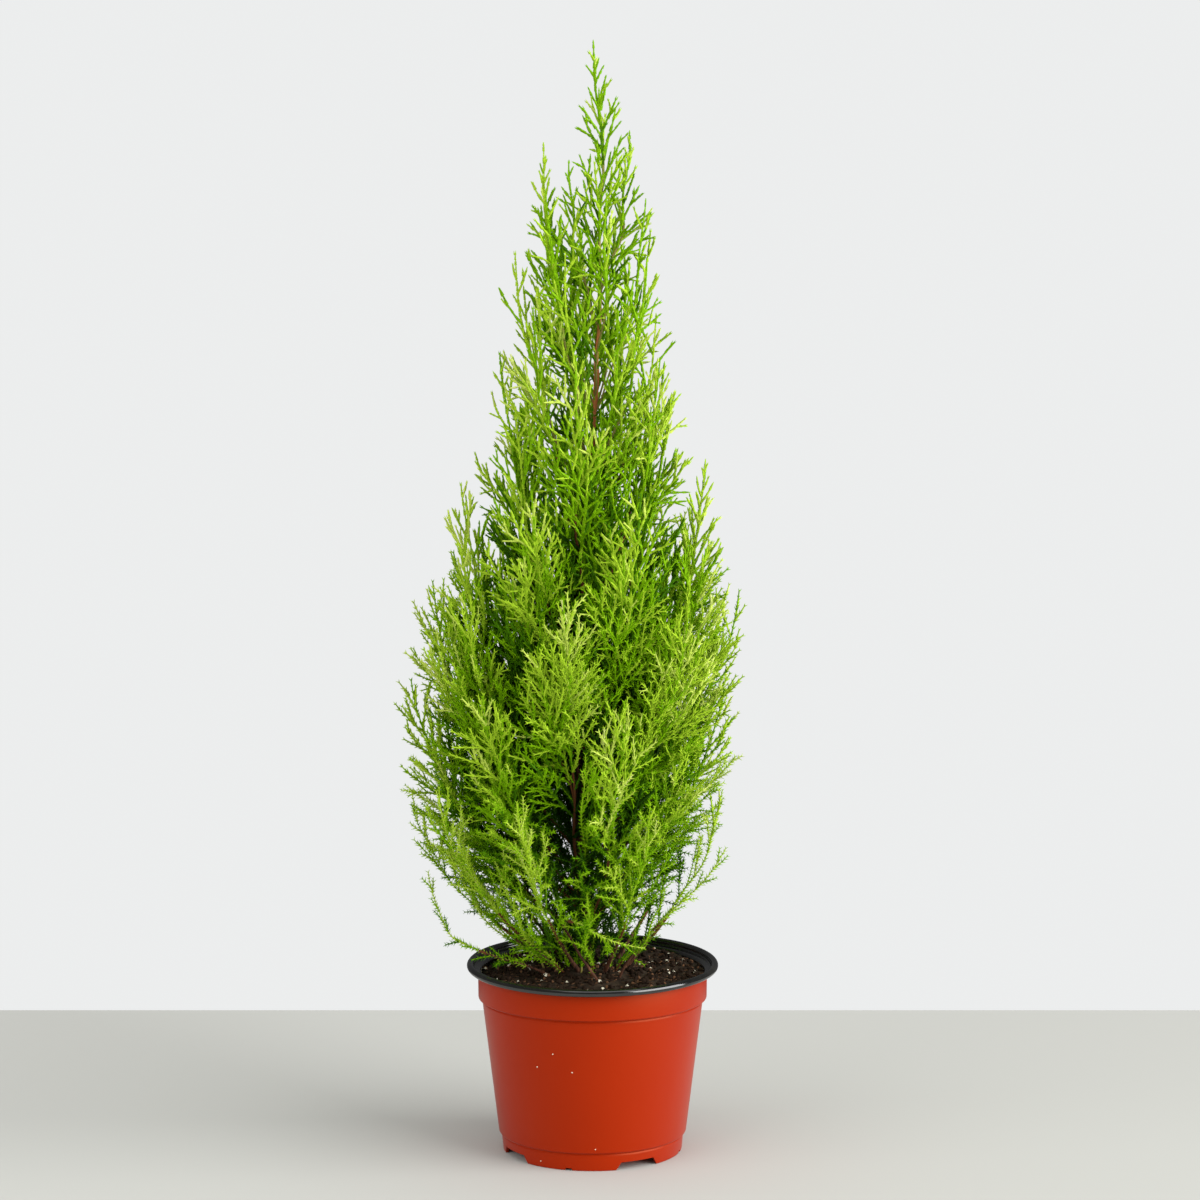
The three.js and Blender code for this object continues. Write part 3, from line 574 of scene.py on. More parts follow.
def mesh_points(piece):
    points = np.empty(len(piece.data.vertices) * 3)
    piece.data.vertices.foreach_get("co", points)
    return points.reshape(-1, 3) / MM


def move_points(piece, points):
    piece.data.vertices.foreach_set("co", (points * MM).ravel())


def joined(parts):
    """Points and faces of several meshes as one."""
    points, faces, start = [], [], 0
    for part_points, part_faces in parts:
        points.append(part_points)
        faces += [tuple(i + start for i in face) for face in part_faces]
        start += len(part_points)
    return np.concatenate(points), faces


def band_faces(rings, sides, closed=False):
    """Faces between rings of points that follow each other, back to the first ring where it is closed."""
    faces = []
    for row in range(rings if closed else rings - 1):
        low, high = row * sides, (row + 1) % rings * sides
        for i in range(sides):
            j = (i + 1) % sides
            faces.append((low + i, low + j, high + j, high + i))
    return faces


def smoothed(piece, sharp_angle):
    piece.data.shade_smooth()
    piece.data.set_sharp_from_angle(angle=math.radians(sharp_angle))


def plain_mesh(piece):
    """The piece with its modifiers' result as its own mesh."""
    depsgraph = bpy.context.evaluated_depsgraph_get()
    result = bpy.data.meshes.new_from_object(piece.evaluated_get(depsgraph), depsgraph=depsgraph)
    piece.modifiers.clear()
    old = piece.data
    piece.data = result
    result.name = piece.name
    bpy.data.meshes.remove(old)
    return piece


def rounded(profile, radius):
    """A turned outline with its corners rounded, less where its sides are short."""
    points = [np.array(p, float) for p in profile]
    made = [points[0]]
    for before, corner, after in zip(points, points[1:], points[2:]):
        back, on = before - corner, after - corner
        room = min(radius, ROUNDING_ROOM * np.linalg.norm(back), ROUNDING_ROOM * np.linalg.norm(on))
        first = corner + back / np.linalg.norm(back) * room
        last = corner + on / np.linalg.norm(on) * room
        for t in np.linspace(0, 1, ROUNDING_STEPS + 1):
            made.append(first * (1 - t) ** 2 + 2 * corner * t * (1 - t) + last * t ** 2)
    return np.array([*made, points[-1]])


def turned_piece(name, profile, material, closed):
    """A profile of radius and height turned about the pot's axis. An open one has its ends on the axis."""
    angles = np.arange(POT_SIDES) * 2 * np.pi / POT_SIDES
    circle = np.stack([np.cos(angles), np.sin(angles)], 1)
    inner = profile if closed else profile[1:-1]
    points = np.concatenate([np.concatenate([circle * r, np.full((POT_SIDES, 1), z)], 1) for r, z in inner])
    faces = band_faces(len(inner), POT_SIDES, closed)
    if not closed:
        first, last = len(points), len(points) + 1
        top = first - POT_SIDES
        points = np.concatenate([points, [(0, 0, profile[0][1]), (0, 0, profile[-1][1])]])
        for i in range(POT_SIDES):
            j = (i + 1) % POT_SIDES
            faces.append((first, j, i))
            faces.append((last, top + i, top + j))
    return mesh_piece(name, points, faces, material)


def value_noise(x, y, seed):
    """Smooth noise from -1 to 1 on a plane, from a fixed grid of random values."""
    grid = np.random.default_rng(seed).uniform(-1, 1, (NOISE_GRID, NOISE_GRID))
    cell_x, cell_y = np.floor(x).astype(int), np.floor(y).astype(int)
    u, v = x - cell_x, y - cell_y
    u, v = u * u * (3 - 2 * u), v * v * (3 - 2 * v)
    corner = [[grid[(cell_x + i) % NOISE_GRID, (cell_y + j) % NOISE_GRID] for j in (0, 1)] for i in (0, 1)]
    low = corner[0][0] * (1 - u) + corner[1][0] * u
    high = corner[0][1] * (1 - u) + corner[1][1] * u
    return low * (1 - v) + high * v


def from_table(table, place):
    """The value at a place, between the rows of a table of places and values."""
    places, values = zip(*table)
    return np.interp(place, places, values)


def between_ends(ends, share):
    return np.interp(share, (0, 1), ends)


# Pot and rim.

def dip(piece):
    """Tilts the pot's band and rim to the front, in full from the shell's top up."""
    points = mesh_points(piece)
    share = np.clip((points[:, 2] - BAND_FOOT) / (SHELL_TOP - BAND_FOOT), 0, 1)
    points[:, 2] += RIM_DIP / RIM_RADIUS * points[:, 1] * share
    move_points(piece, points)


def foot_notch(foot_width, top_width, height, turn):
    """A cutter through the foot's wall: a wedge that is wider at the floor."""
    slope = (foot_width - top_width) / 2 / height
    low_half = foot_width / 2 + slope * NOTCH_BELOW
    top_half = top_width / 2
    section = ((-low_half, -NOTCH_BELOW), (low_half, -NOTCH_BELOW), (top_half, height), (-top_half, height))
    front, back = -(FOOT_RADIUS + NOTCH_DEPTH / 2), -(FOOT_RADIUS - NOTCH_DEPTH / 2)
    points = np.array([(x, y, z) for y in (front, back) for x, z in section])
    angle = math.radians(turn)
    spin = np.array([[math.cos(angle), -math.sin(angle)], [math.sin(angle), math.cos(angle)]])
    points[:, :2] = points[:, :2] @ spin.T
    faces = ((0, 1, 2, 3), (7, 6, 5, 4), (0, 4, 5, 1), (1, 5, 6, 2), (2, 6, 7, 3), (3, 7, 4, 0))
    return points, faces


def pot():
    """The shell with its pad, channel and stepped foot, cut into feet, and its band."""
    foot_inner = FOOT_RADIUS - POT_WALL - POT_DRAFT
    foot_outer = FOOT_RADIUS + FOOT_DRAFT
    floor_top = CHANNEL_HEIGHT + POT_WALL
    pad_inner = PAD_RADIUS - PAD_WALL_SHIFT
    profile = rounded((
        (0, 0),
        (PAD_RADIUS, 0),
        (PAD_RADIUS + CHANNEL_SLOPE, CHANNEL_HEIGHT),
        (foot_inner - POT_DRAFT, CHANNEL_HEIGHT),
        (foot_inner, 0),
        (FOOT_RADIUS, 0),
        (foot_outer, FOOT_TOP),
        (foot_outer - CREASE_DEPTH, FOOT_TOP + CREASE_HEIGHT),
        (foot_outer + FOOT_STEP, FOOT_TOP + 2 * CREASE_HEIGHT),
        (BAND_RADIUS - BAND_STEP, BAND_FOOT - 2 * CREASE_HEIGHT),
        (BAND_RADIUS - BAND_STEP - CREASE_DEPTH, BAND_FOOT - CREASE_HEIGHT),
        (BAND_RADIUS - BAND_DRAFT, BAND_FOOT),
        (BAND_RADIUS, SHELL_TOP),
        (BAND_INNER, SHELL_TOP),
        (BAND_INNER - BAND_DRAFT, BAND_FOOT + POT_WALL),
        (BAND_INNER - BAND_STEP, BODY_INNER_TOP),
        (FOOT_RADIUS - POT_DRAFT, floor_top),
        (pad_inner + CHANNEL_SLOPE, floor_top),
        (pad_inner, POT_WALL),
        (0, POT_WALL),
    ), POT_ROUNDING)
    piece = turned_piece("pot_shell", profile, pot_plastic(), closed=False)
    gap_widths = [2 * FOOT_RADIUS * math.tan(math.radians(angle / 2))
                  for angle in (FOOT_GAP_ANGLE, FOOT_GAP_TOP_ANGLE)]
    notches = []
    for foot in range(FEET):
        turn = FRONT_FOOT_TURN + 360 / FEET * foot
        notches.append(foot_notch(*gap_widths, FOOT_GAP_HEIGHT, turn + 180 / FEET))
        notches.append(foot_notch(FOOT_NICK_WIDTH, FOOT_NICK_TOP_WIDTH, FOOT_NICK_HEIGHT, turn))
    cutter = mesh_piece("foot_notches", *joined(notches))
    cut = piece.modifiers.new("foot notches", "BOOLEAN")
    cut.operation = "DIFFERENCE"
    cut.solver = "EXACT"
    cut.object = cutter
    plain_mesh(piece)
    bpy.data.objects.remove(cutter)
    dip(piece)
    smoothed(piece, POT_SHARP_ANGLE)
    return piece


def rim():
    """The black rim: a rolled edge, a lip inside it and a collar in the band."""
    collar_outer = BAND_INNER - FIT_GAP
    collar_inner = collar_outer - COLLAR_WALL
    lip_top = RIM_TOP - RIM_LIP_DROP
    angles = np.radians(np.linspace(*RIM_ROLL_ANGLES, RIM_ROLL_STEPS + 1))
    roll = [(RIM_RADIUS - RIM_ROLL + RIM_ROLL * math.cos(a), RIM_TOP - RIM_ROLL + RIM_ROLL * math.sin(a))
            for a in angles]
    lip = rounded((
        roll[-1],
        (RIM_RADIUS - 2 * RIM_ROLL - FIT_GAP, lip_top),
        (collar_inner + RIM_LIP_WIDTH, lip_top - RIM_LIP_SLOPE),
        (collar_inner, RIM_TOP - RIM_LIP_DEPTH),
        (collar_inner, COLLAR_FOOT),
        (collar_outer, COLLAR_FOOT),
        (collar_outer, SHELL_TOP + FIT_GAP),
        roll[0],
    ), RIM_ROUNDING)
    piece = turned_piece("rolled_rim", np.concatenate([roll, lip[1:-1]]), rim_plastic(), closed=True)
    dip(piece)
    smoothed(piece, RIM_SHARP_ANGLE)
    return piece


def specks(material):
    """Specks of perlite on the pot's wall, half sunk in it."""
    corners = np.array([sign * axis for axis in np.eye(3) for sign in (1, -1)])
    faces = [(x, y, z) if (x + y + z) % 2 == 0 else (z, y, x)
             for x in (0, 1) for y in (2, 3) for z in (4, 5)]
    parts = []
    for turn, height in SPECKS:
        wall = from_table(WALL_RADIUS, height)
        angle = math.radians(turn - 90)
        centre = np.array([wall * math.cos(angle), wall * math.sin(angle), height])
        parts.append((centre + SPECK_RADIUS * corners, faces))
    return mesh_piece("pot_specks", *joined(parts), material)


# Soil.

def soil_height(x, y):
    """Height of the soil, lumpy all over, heaped round the stems and tilted a little to the front left."""
    flat = SOIL_WALL_HEIGHT + SOIL_TILT[0] * x + SOIL_TILT[1] * y
    heap = np.hypot(x - SOIL_MOUND_PLACE[0], y - SOIL_MOUND_PLACE[1])
    mound = SOIL_MOUND * np.exp(-(heap / SOIL_MOUND_RADIUS) ** 2)
    lumps = sum(value_noise(x / size, y / size, seed) * share for size, share, seed in SOIL_LUMPS)
    return flat + mound + SOIL_ROUGHNESS * lumps * from_table(SOIL_LUMP_SHARE, np.hypot(x, y))


def soil():
    """The filled pot's soil: a lumpy top on a body that fits inside the wall."""
    foot = POT_WALL + FIT_GAP
    pad_edge = PAD_RADIUS - PAD_WALL_SHIFT - SOIL_GAP
    body = [
        (0, foot),
        (pad_edge, foot),
        (pad_edge + CHANNEL_SLOPE, CHANNEL_HEIGHT + foot),
        (FOOT_RADIUS - POT_DRAFT - SOIL_GAP, CHANNEL_HEIGHT + foot),
        (BAND_INNER - BAND_STEP - SOIL_GAP, BODY_INNER_TOP),
        (SOIL_RADIUS, COLLAR_FOOT - SOIL_GAP),
    ]
    top = [(r, SOIL_TOP) for r in np.linspace(SOIL_RADIUS, 0, SOIL_RINGS)]
    piece = turned_piece("soil_bed", np.array(body + top), peat(), closed=False)
    points = mesh_points(piece)
    upper = points[:, 2] > COLLAR_FOOT
    points[upper, 2] = soil_height(points[upper, 0], points[upper, 1])
    move_points(piece, points)
    smoothed(piece, SOIL_SHARP_ANGLE)
    return piece


def soil_patch(name):
    """The soil's top alone, for what lies on it."""
    steps = np.linspace(-SOIL_SCATTER_RADIUS, SOIL_SCATTER_RADIUS, SOIL_PATCH_CELLS + 1)
    x, y = np.meshgrid(steps, steps)
    points = np.stack([x, y, soil_height(x, y)], -1).reshape(-1, 3)
    row = SOIL_PATCH_CELLS + 1
    first = (np.arange(SOIL_PATCH_CELLS)[:, None] * row + np.arange(SOIL_PATCH_CELLS)[None]).ravel()
    half_cell = (steps[1] - steps[0]) / 2
    middle = np.hypot(*(points[first, :2] + half_cell).T)
    first = first[middle < SOIL_SCATTER_RADIUS]
    faces = np.stack([first, first + 1, first + row + 1, first + row], 1)
    return mesh_piece(name, points, faces.tolist())


def scatter_tree(name, sizes, fibres):
    """Grains or fibres strewn over a surface, each turned and sized by chance and dented by noise."""
    tree, given = new_tree(name, sizes)
    places = add(tree, "GeometryNodeDistributePointsOnFaces",
                 {"Mesh": given["Geometry"], "Density": given["Density"], "Seed": SEED},
                 distribute_method="RANDOM")
    size = between(tree, given["Smallest"], given["Largest"], SIZE_SEED)
    if fibres:
        grain = add(tree, "GeometryNodeMeshCylinder",
                    {"Vertices": FIBRE_SIDES, "Radius": FIBRE_RADIUS, "Depth": FIBRE_LENGTH})
        turns, scale = FIBRE_TURNS, size
    else:
        grain = add(tree, "GeometryNodeMeshIcoSphere", {"Radius": 1.0, "Subdivisions": 1})
        turns, scale = GRAIN_TURNS, scaled(tree, GRAIN_SHAPE, size)
    turn = add(tree, "FunctionNodeRandomValue", {0: turns[0], 1: turns[1], "Seed": TURN_SEED},
               data_type="FLOAT_VECTOR").outputs[0]
    lifted = add(tree, "GeometryNodeSetPosition", {
        "Geometry": places.outputs["Points"],
        "Offset": vector(tree, 0.0, 0.0, math_node(tree, "MULTIPLY", size, given["Lift"]))})
    placed = add(tree, "GeometryNodeInstanceOnPoints", {
        "Points": lifted.outputs["Geometry"], "Instance": grain.outputs["Mesh"], "Rotation": turn,
        "Scale": scale})
    real = add(tree, "GeometryNodeRealizeInstances", {"Geometry": placed.outputs["Instances"]})
    place = add(tree, "GeometryNodeInputPosition").outputs["Position"]
    rough = add(tree, "ShaderNodeTexNoise", {"Vector": place, "Scale": DENT_SCALE, "Detail": DENT_DETAIL})
    centred = add(tree, "ShaderNodeVectorMath", {0: rough.outputs["Color"], 1: NOISE_MIDDLE},
                  operation="SUBTRACT").outputs["Vector"]
    dented = add(tree, "GeometryNodeSetPosition", {
        "Geometry": real.outputs["Geometry"], "Offset": scaled(tree, centred, given["Dents"])})
    return tree, dented.outputs["Geometry"]


def strewn(name, material, sizes, fibres=False):
    tree, made = scatter_tree(name, sizes, fibres)
    end_tree(tree, made, [material])
    return run_tree(soil_patch(name), tree, sizes)


# Plumes.

def bezier(guides, share):
    t = np.atleast_1d(np.asarray(share, float))[:, None]
    a, b, c, d = (np.asarray(g, float) for g in guides)
    return a * (1 - t) ** 3 + 3 * b * t * (1 - t) ** 2 + 3 * c * t ** 2 * (1 - t) + d * t ** 3


def axis_share(height):
    return (height - SOIL_TOP) / (PLANT_HEIGHT - SOIL_TOP)


AXIS = [np.array([x, y, SOIL_TOP + (PLANT_HEIGHT - SOIL_TOP) * i / 3])
        for i, (x, y) in enumerate(zip(TRUNK_SWAY, TRUNK_DEPTH_SWAY))]
TRUNK_LINE = bezier(AXIS, np.linspace(0, axis_share(TRUNK_TIP_HEIGHT), TRUNK_POINTS))


def axis_point(height):
    return bezier(AXIS, axis_share(height))[0]


def random_stream(seed):
    """Numbers from 0 to 1 by the rule of the part's source."""
    state = seed * STREAM_START % STREAM_RANGE
    while True:
        state = (state * STREAM_FACTOR + STREAM_STEP) % STREAM_RANGE
        yield state / STREAM_RANGE


def split_bezier(guides, start):
    """The part of a curve after start."""
    a, b, c, d = guides
    ab, bc, cd = a + (b - a) * start, b + (c - b) * start, c + (d - c) * start
    abc, bcd = ab + (bc - ab) * start, bc + (cd - bc) * start
    return [abc + (bcd - abc) * start, bcd, cd, d]


def bowed(foot, tip, bow):
    spread = (tip - foot) * (1, 1, 0)
    rise = tip[2] - foot[2]
    first, second = (foot + spread * out + UP * up * rise for out, up in (bow[:2], bow[2:]))
    return [foot, first, second, tip]


def outward_way(angle):
    return np.array([math.cos(angle), math.sin(angle), 0])


def foot_lift(foot_height, order, count):
    """Spreads the feet of a tier's plumes up the trunk."""
    return 0 if foot_height == SOIL_TOP else order * FOOT_ORDER_STEP % count * FOOT_HEIGHT_STEP


def plume(name, group, guides, reach, bare, stem=0.0, free=False):
    """A plume. stem is the share of its way with bark of its own; a free one may pass the crown's outline."""
    return {"name": name, "group": group, "guides": guides, "reach": reach, "bare": bare,
            "stem": stem, "free": free}


def tier_plume(name, group, draw, middle, tip_height, foot_height, lift, reach, bare, shares, inner=False):
    """A plume from the trunk, or on a stem of its own from the soil, out to the crown's outline."""
    direction = math.radians(middle + (next(draw) - 0.5) * DIRECTION_SPREAD)
    height = tip_height + (next(draw) - 0.5) * TIP_HEIGHT_SPREAD
    width = from_table(CROWN_RADIUS, height) * between_ends(shares, next(draw))
    outward = outward_way(direction)
    own_stem = foot_height == SOIL_TOP
    foot = axis_point(foot_height + lift)
    if own_stem:
        foot = foot + outward * between_ends(STEM_RING, next(draw))
    tip = outward * width + (from_table(CROWN_CENTRE, height), 0, height)
    guides = bowed(foot, tip, BOW_FROM_SOIL if own_stem else BOW_FROM_TRUNK)
    return plume(name, group, guides, reach, bare, STEM_SHARE if own_stem and not inner else 0.0)


def source_plumes():
    """The plumes that the part's solids have."""
    made = []
    for group, tip_height, foot_height, reach, bare, directions in TIERS:
        for order, middle in enumerate(directions):
            draw = random_stream(SEED + len(made))
            lift = foot_lift(foot_height, order, len(directions))
            made.append(tier_plume(f"{group}_{order + 1}", group, draw, middle, tip_height, foot_height,
                                   lift, reach, bare, CROWN_SHARE))
    for name, foot_height, tip, reach in SIDE_LEADERS:
        guides = bowed(axis_point(foot_height), np.array(tip, float), BOW_OF_LEADER)
        made.append(plume(name, "leaders", guides, reach, LEADER_BARE, free=True))
    for name, reach, stem, way in SPRIGS:
        guides = [np.array(point, float) for point in way]
        made.append(plume(name, "sprigs", guides, reach, SPRIG_BARE, stem, True))
    top = split_bezier(AXIS, axis_share(TRUNK_TIP_HEIGHT))
    made.append(plume("leader", "leaders", top, TOP_REACH, 0.0, free=True))
    return made


def between_plumes():
    """Plumes of the same rule between those of the solids, a little further in."""
    made = []
    tips = [FRINGE_TIP, *(tier[1] for tier in TIERS), TOP_TIP]
    feet = [SOIL_TOP, *(tier[2] for tier in TIERS), TOP_FOOT]
    places = [(TIERS[0], FRINGE_TIP, SOIL_TOP)]
    for level, tier in enumerate(TIERS, 1):
        tip_height = (tips[level] + tips[level + 1]) / 2
        foot_height = (feet[level] + feet[level + 1]) / 2 + BETWEEN_LIFT
        places.append((tier, tip_height, foot_height))
    for (group, _, _, reach, bare, directions), tip_height, foot_height in places:
        ordered = sorted(directions)
        for order, first in enumerate(ordered):
            second = ordered[(order + 1) % len(ordered)]
            middle = first + (second - first) % 360 / 2
            draw = random_stream(BETWEEN_SEED + len(made))
            lift = foot_lift(foot_height, order, len(ordered))
            made.append(tier_plume(f"{group}_between_{len(made) + 1}", group, draw, middle, tip_height,
                                   foot_height, lift, reach, bare, BETWEEN_SHARE, True))
    return made


def basal_shoots():
    """Young shoots that rise from the soil among the stems, shorter to the front."""
    made = []
    for number in range(BASAL_SHOOTS):
        draw = random_stream(BASAL_SEED + number)
        outward = outward_way(GOLDEN_ANGLE * number)
        far = next(draw)
        front = np.interp(outward[1], (-1, 0), (BASAL_FRONT_SHARE, 1))
        foot = BASAL_MIDDLE + outward * between_ends(BASAL_FOOT_RING, far) + UP * SOIL_TOP
        tip = BASAL_MIDDLE + outward * (between_ends(BASAL_TIP_RING, far) * front)
        tip = tip + UP * between_ends(BASAL_TIP_HEIGHT, next(draw))
        guides = bowed(foot, tip, BOW_FROM_SOIL)
        name = f"basal_shoot_{number + 1}"
        made.append(plume(name, "skirt", guides, BASAL_REACH, BASAL_BARE, STEM_BARE, True))
    return made


# Room for the foliage.

def beyond_crown(points):
    centre = from_table(CROWN_CENTRE, points[..., 2])
    return np.hypot(points[..., 0] - centre, points[..., 1]) - from_table(CROWN_RADIUS, points[..., 2])


def share_of_crown(points):
    """0 at the crown's middle, 1 at its outline."""
    return 1 + beyond_crown(points) / np.maximum(from_table(CROWN_RADIUS, points[..., 2]), LEAST_CROWN)


def clear_of_pot(points):
    radius = np.hypot(points[..., 0], points[..., 1])
    above = points[..., 2] > RIM_TOP + RIM_DIP / RIM_RADIUS * points[..., 1] + POT_MARGIN
    outside = radius > RIM_RADIUS + POT_MARGIN
    ground = soil_height(points[..., 0], points[..., 1])
    inside = (radius < BAND_RADIUS - COLLAR_ROOM - POT_MARGIN) & (points[..., 2] > ground + POT_MARGIN)
    return above | outside | inside


def in_opening(points):
    x, y, z = np.moveaxis(points, -1, 0)
    inside = np.zeros(x.shape, bool)
    for middle, half, low, high in OPENINGS:
        inside |= ((x - middle) / half) ** 2 + ((2 * z - low - high) / (high - low)) ** 2 < 1
    return inside & (y < OPENING_FRONT)


def has_room(points):
    """Clear of the pot and the openings, and inside the reach of the part's solids."""
    low, high = (np.array(corner) / MM for corner in CAD_BOX)
    inside = ((points > low - REACH_SLACK) & (points < high + REACH_SLACK)).all(-1)
    return inside & clear_of_pot(points) & ~in_opening(points)


def nearest(points, samples):
    """Distance of each point from the nearest sample."""
    flat = points.reshape(-1, 3)
    squares = (flat ** 2).sum(1)[:, None] + (samples ** 2).sum(1)[None] - 2 * flat @ samples.T
    return np.sqrt(np.maximum(squares.min(1), 0)).reshape(points.shape[:-1])


# Laterals, shoots and twigs.

def normalised(v):
    return v / np.maximum(np.linalg.norm(v, axis=-1, keepdims=True), TINY)


def turned(v, axis, angle):
    c, s = np.cos(angle)[..., None], np.sin(angle)[..., None]
    return v * c + np.cross(axis, v) * s + axis * np.sum(axis * v, -1, keepdims=True) * (1 - c)


def across_of(tangents):
    helper = np.where(np.abs(tangents[:, 2:3]) > NEARLY_UPRIGHT, (1.0, 0, 0), UP)
    return normalised(np.cross(tangents, helper))


def facing_side(tangents, places):
    """Sideways for a spray that shows its face to the outside of the crown."""
    outward = places * (1, 1, 0) + UP * FACING_RISE
    return normalised(np.cross(tangents, outward))


def maturity(height):
    """0 where the foliage is young, 1 where it is grown."""
    return (height - YOUNG_HEIGHT) / (GROWN_HEIGHT - YOUNG_HEIGHT)


def sprout(starts, tangents, outward, lengths, angles, count, bend):
    """Shoots that leave their stem sideways and straighten along it, with count points each."""
    lean = tangents * np.cos(angles)[:, None] + outward * np.sin(angles)[:, None]
    s = np.linspace(0, 1, count)[None, :, None]
    off, on = SPRAY_STRAIGHTENING
    way = lean[:, None] * (s + off * s * s) + (tangents * on + bend)[:, None] * s * s
    return starts[:, None] + lengths[:, None, None] * way


def arcs(lines):
    """Length along each line at each of its points."""
    steps = np.linalg.norm(np.diff(lines, axis=1), axis=2)
    return np.concatenate([np.zeros((len(lines), 1)), np.cumsum(steps, 1)], 1)


def stations(lines, spacing, first, last, rng):
    """Places on many lines: line, length along it, the line's length, point, tangent, order on its line."""
    arc = arcs(lines)
    total = arc[:, -1]
    room = np.maximum(total - first - last, 0)
    counts = (room / spacing).astype(int)
    line = np.repeat(np.arange(len(lines)), counts)
    order = np.arange(len(line)) - np.repeat(np.cumsum(counts) - counts, counts)
    step = (room / np.maximum(counts, 1))[line]
    steps = order + rng.uniform(*STATION_SPREAD, len(line))
    along = np.broadcast_to(first, total.shape)[line] + steps * step
    cell = np.clip((arc[line] <= along[:, None]).sum(1) - 1, 0, lines.shape[1] - 2)
    low, high = arc[line, cell], arc[line, cell + 1]
    share = ((along - low) / np.maximum(high - low, TINY))[:, None]
    a, b = lines[line, cell], lines[line, cell + 1]
    return line, along, total[line], a + (b - a) * share, normalised(b - a), order


# The crown's cords as they grow: leafy ones by group and kind of leaf, woody ones by group and sort.
leafy = {}
woody = {}


def green_of(tone):
    return np.clip(np.round(tone), 0, GREENS - 1).astype(int)


def keep_woody(group, sort, lines, radius, end_radius, tint):
    if len(lines):
        columns = (np.broadcast_to(value, len(lines)) for value in (radius, end_radius, tint))
        woody.setdefault((group, sort), []).append((lines, *columns))


def keep_leafy(group, lines, kind, tone, size=1.0, stout=1.0):
    """Files leafy cords by group and kind of leaf, with the green cord in each. tone picks its green."""
    sizes = np.broadcast_to(size, len(lines))
    green = green_of(tone)
    bare = (kind > 0) & (green < LEAFY_TONE)
    for number in np.unique(kind):
        chosen = (kind == number) & ~bare
        if chosen.any():
            leafy.setdefault((group, number), []).append((lines[chosen], sizes[chosen], green[chosen]))
    radii = CORD_RADII[kind] * sizes * np.where(bare, BARE_STOUTNESS, 1)
    paler = np.where(kind == 0, NEEDLE_CORD_PALER, 0)
    keep_woody(group, "shoots", lines, radii * stout, radii * CORD_END_SHARE, green_of(tone + paler))


def grow_twigs(group, shoots, kind, tone, rng):
    """Twigs on the longer shoots, alternately left and right."""
    line, along, whole, base, tangents, order = stations(shoots, TWIG_SPACING, *TWIG_ENDS, rng)
    count = len(line)
    hand = np.where(order % 2, 0, np.pi) + rng.normal(0, HAND_SPREAD, count)
    outward = turned(facing_side(tangents, base), tangents, hand)
    lengths = np.clip(TWIG_SHARE * (whole - along) + TWIG_BASE_LENGTH, *TWIG_LENGTHS)
    lengths = lengths * rng.uniform(*LENGTH_SPREAD, count)
    angles = np.radians(rng.uniform(*TWIG_ANGLES, count))
    bend = rng.normal(0, TWIG_BEND_SPREAD, (count, 3))
    twigs = sprout(base, tangents, outward, lengths, angles, TWIG_POINTS, bend)
    keep = has_room(twigs).all(1)
    tone = tone[line] + rng.normal(TONE_OF_TWIG, SHOOT_TONE_SPREAD, count)
    keep_leafy(group, twigs[keep], kind[line][keep], tone[keep], TWIG_LEAF_SIZE)


def grow_shoots(group, laterals, kind, tone, rng):
    """Shoots on laterals of one kind, feather-like, then the twigs on the longer ones."""
    spacing, share, least, most, angle_range = SHOOT_RULES[kind]
    line, along, whole, base, tangents, order = stations(laterals, spacing, *SHOOT_ENDS, rng)
    count = len(line)
    hand = np.where(order % 2, 0, np.pi) + rng.normal(0, HAND_SPREAD, count)
    outward = turned(facing_side(tangents, base), tangents, hand)
    lengths = np.clip(share * (whole - along) + least, least, most)
    lengths = lengths * rng.uniform(*SHOOT_LENGTH_SPREAD, count)
    rise = from_table(SHOOT_RISE, base[:, 2]) * rng.uniform(0, 2, count)
    bend = rng.normal(0, BEND_SPREAD, (count, 3)) + UP * rise[:, None]
    angles = np.radians(rng.uniform(*angle_range, count))
    shoots = sprout(base, tangents, outward, lengths, angles, SHOOT_POINTS[kind], bend)
    keep = has_room(shoots).all(1)
    # Paler towards a lateral's outer end: partly the tips' own paler colour, partly painted light near the
    # crown's outline.
    tone = tone[line] + TONE_ALONG_LATERAL * along / whole + rng.normal(0, SHOOT_TONE_SPREAD, count)
    shoots, lengths, tone = shoots[keep], lengths[keep], tone[keep]
    kinds = np.full(len(shoots), kind)
    keep_leafy(group, shoots, kinds, tone)
    longer = lengths > TWIG_ON_SHOOT[kinds]
    grow_twigs(group, shoots[longer], kinds[longer], tone[longer], rng)


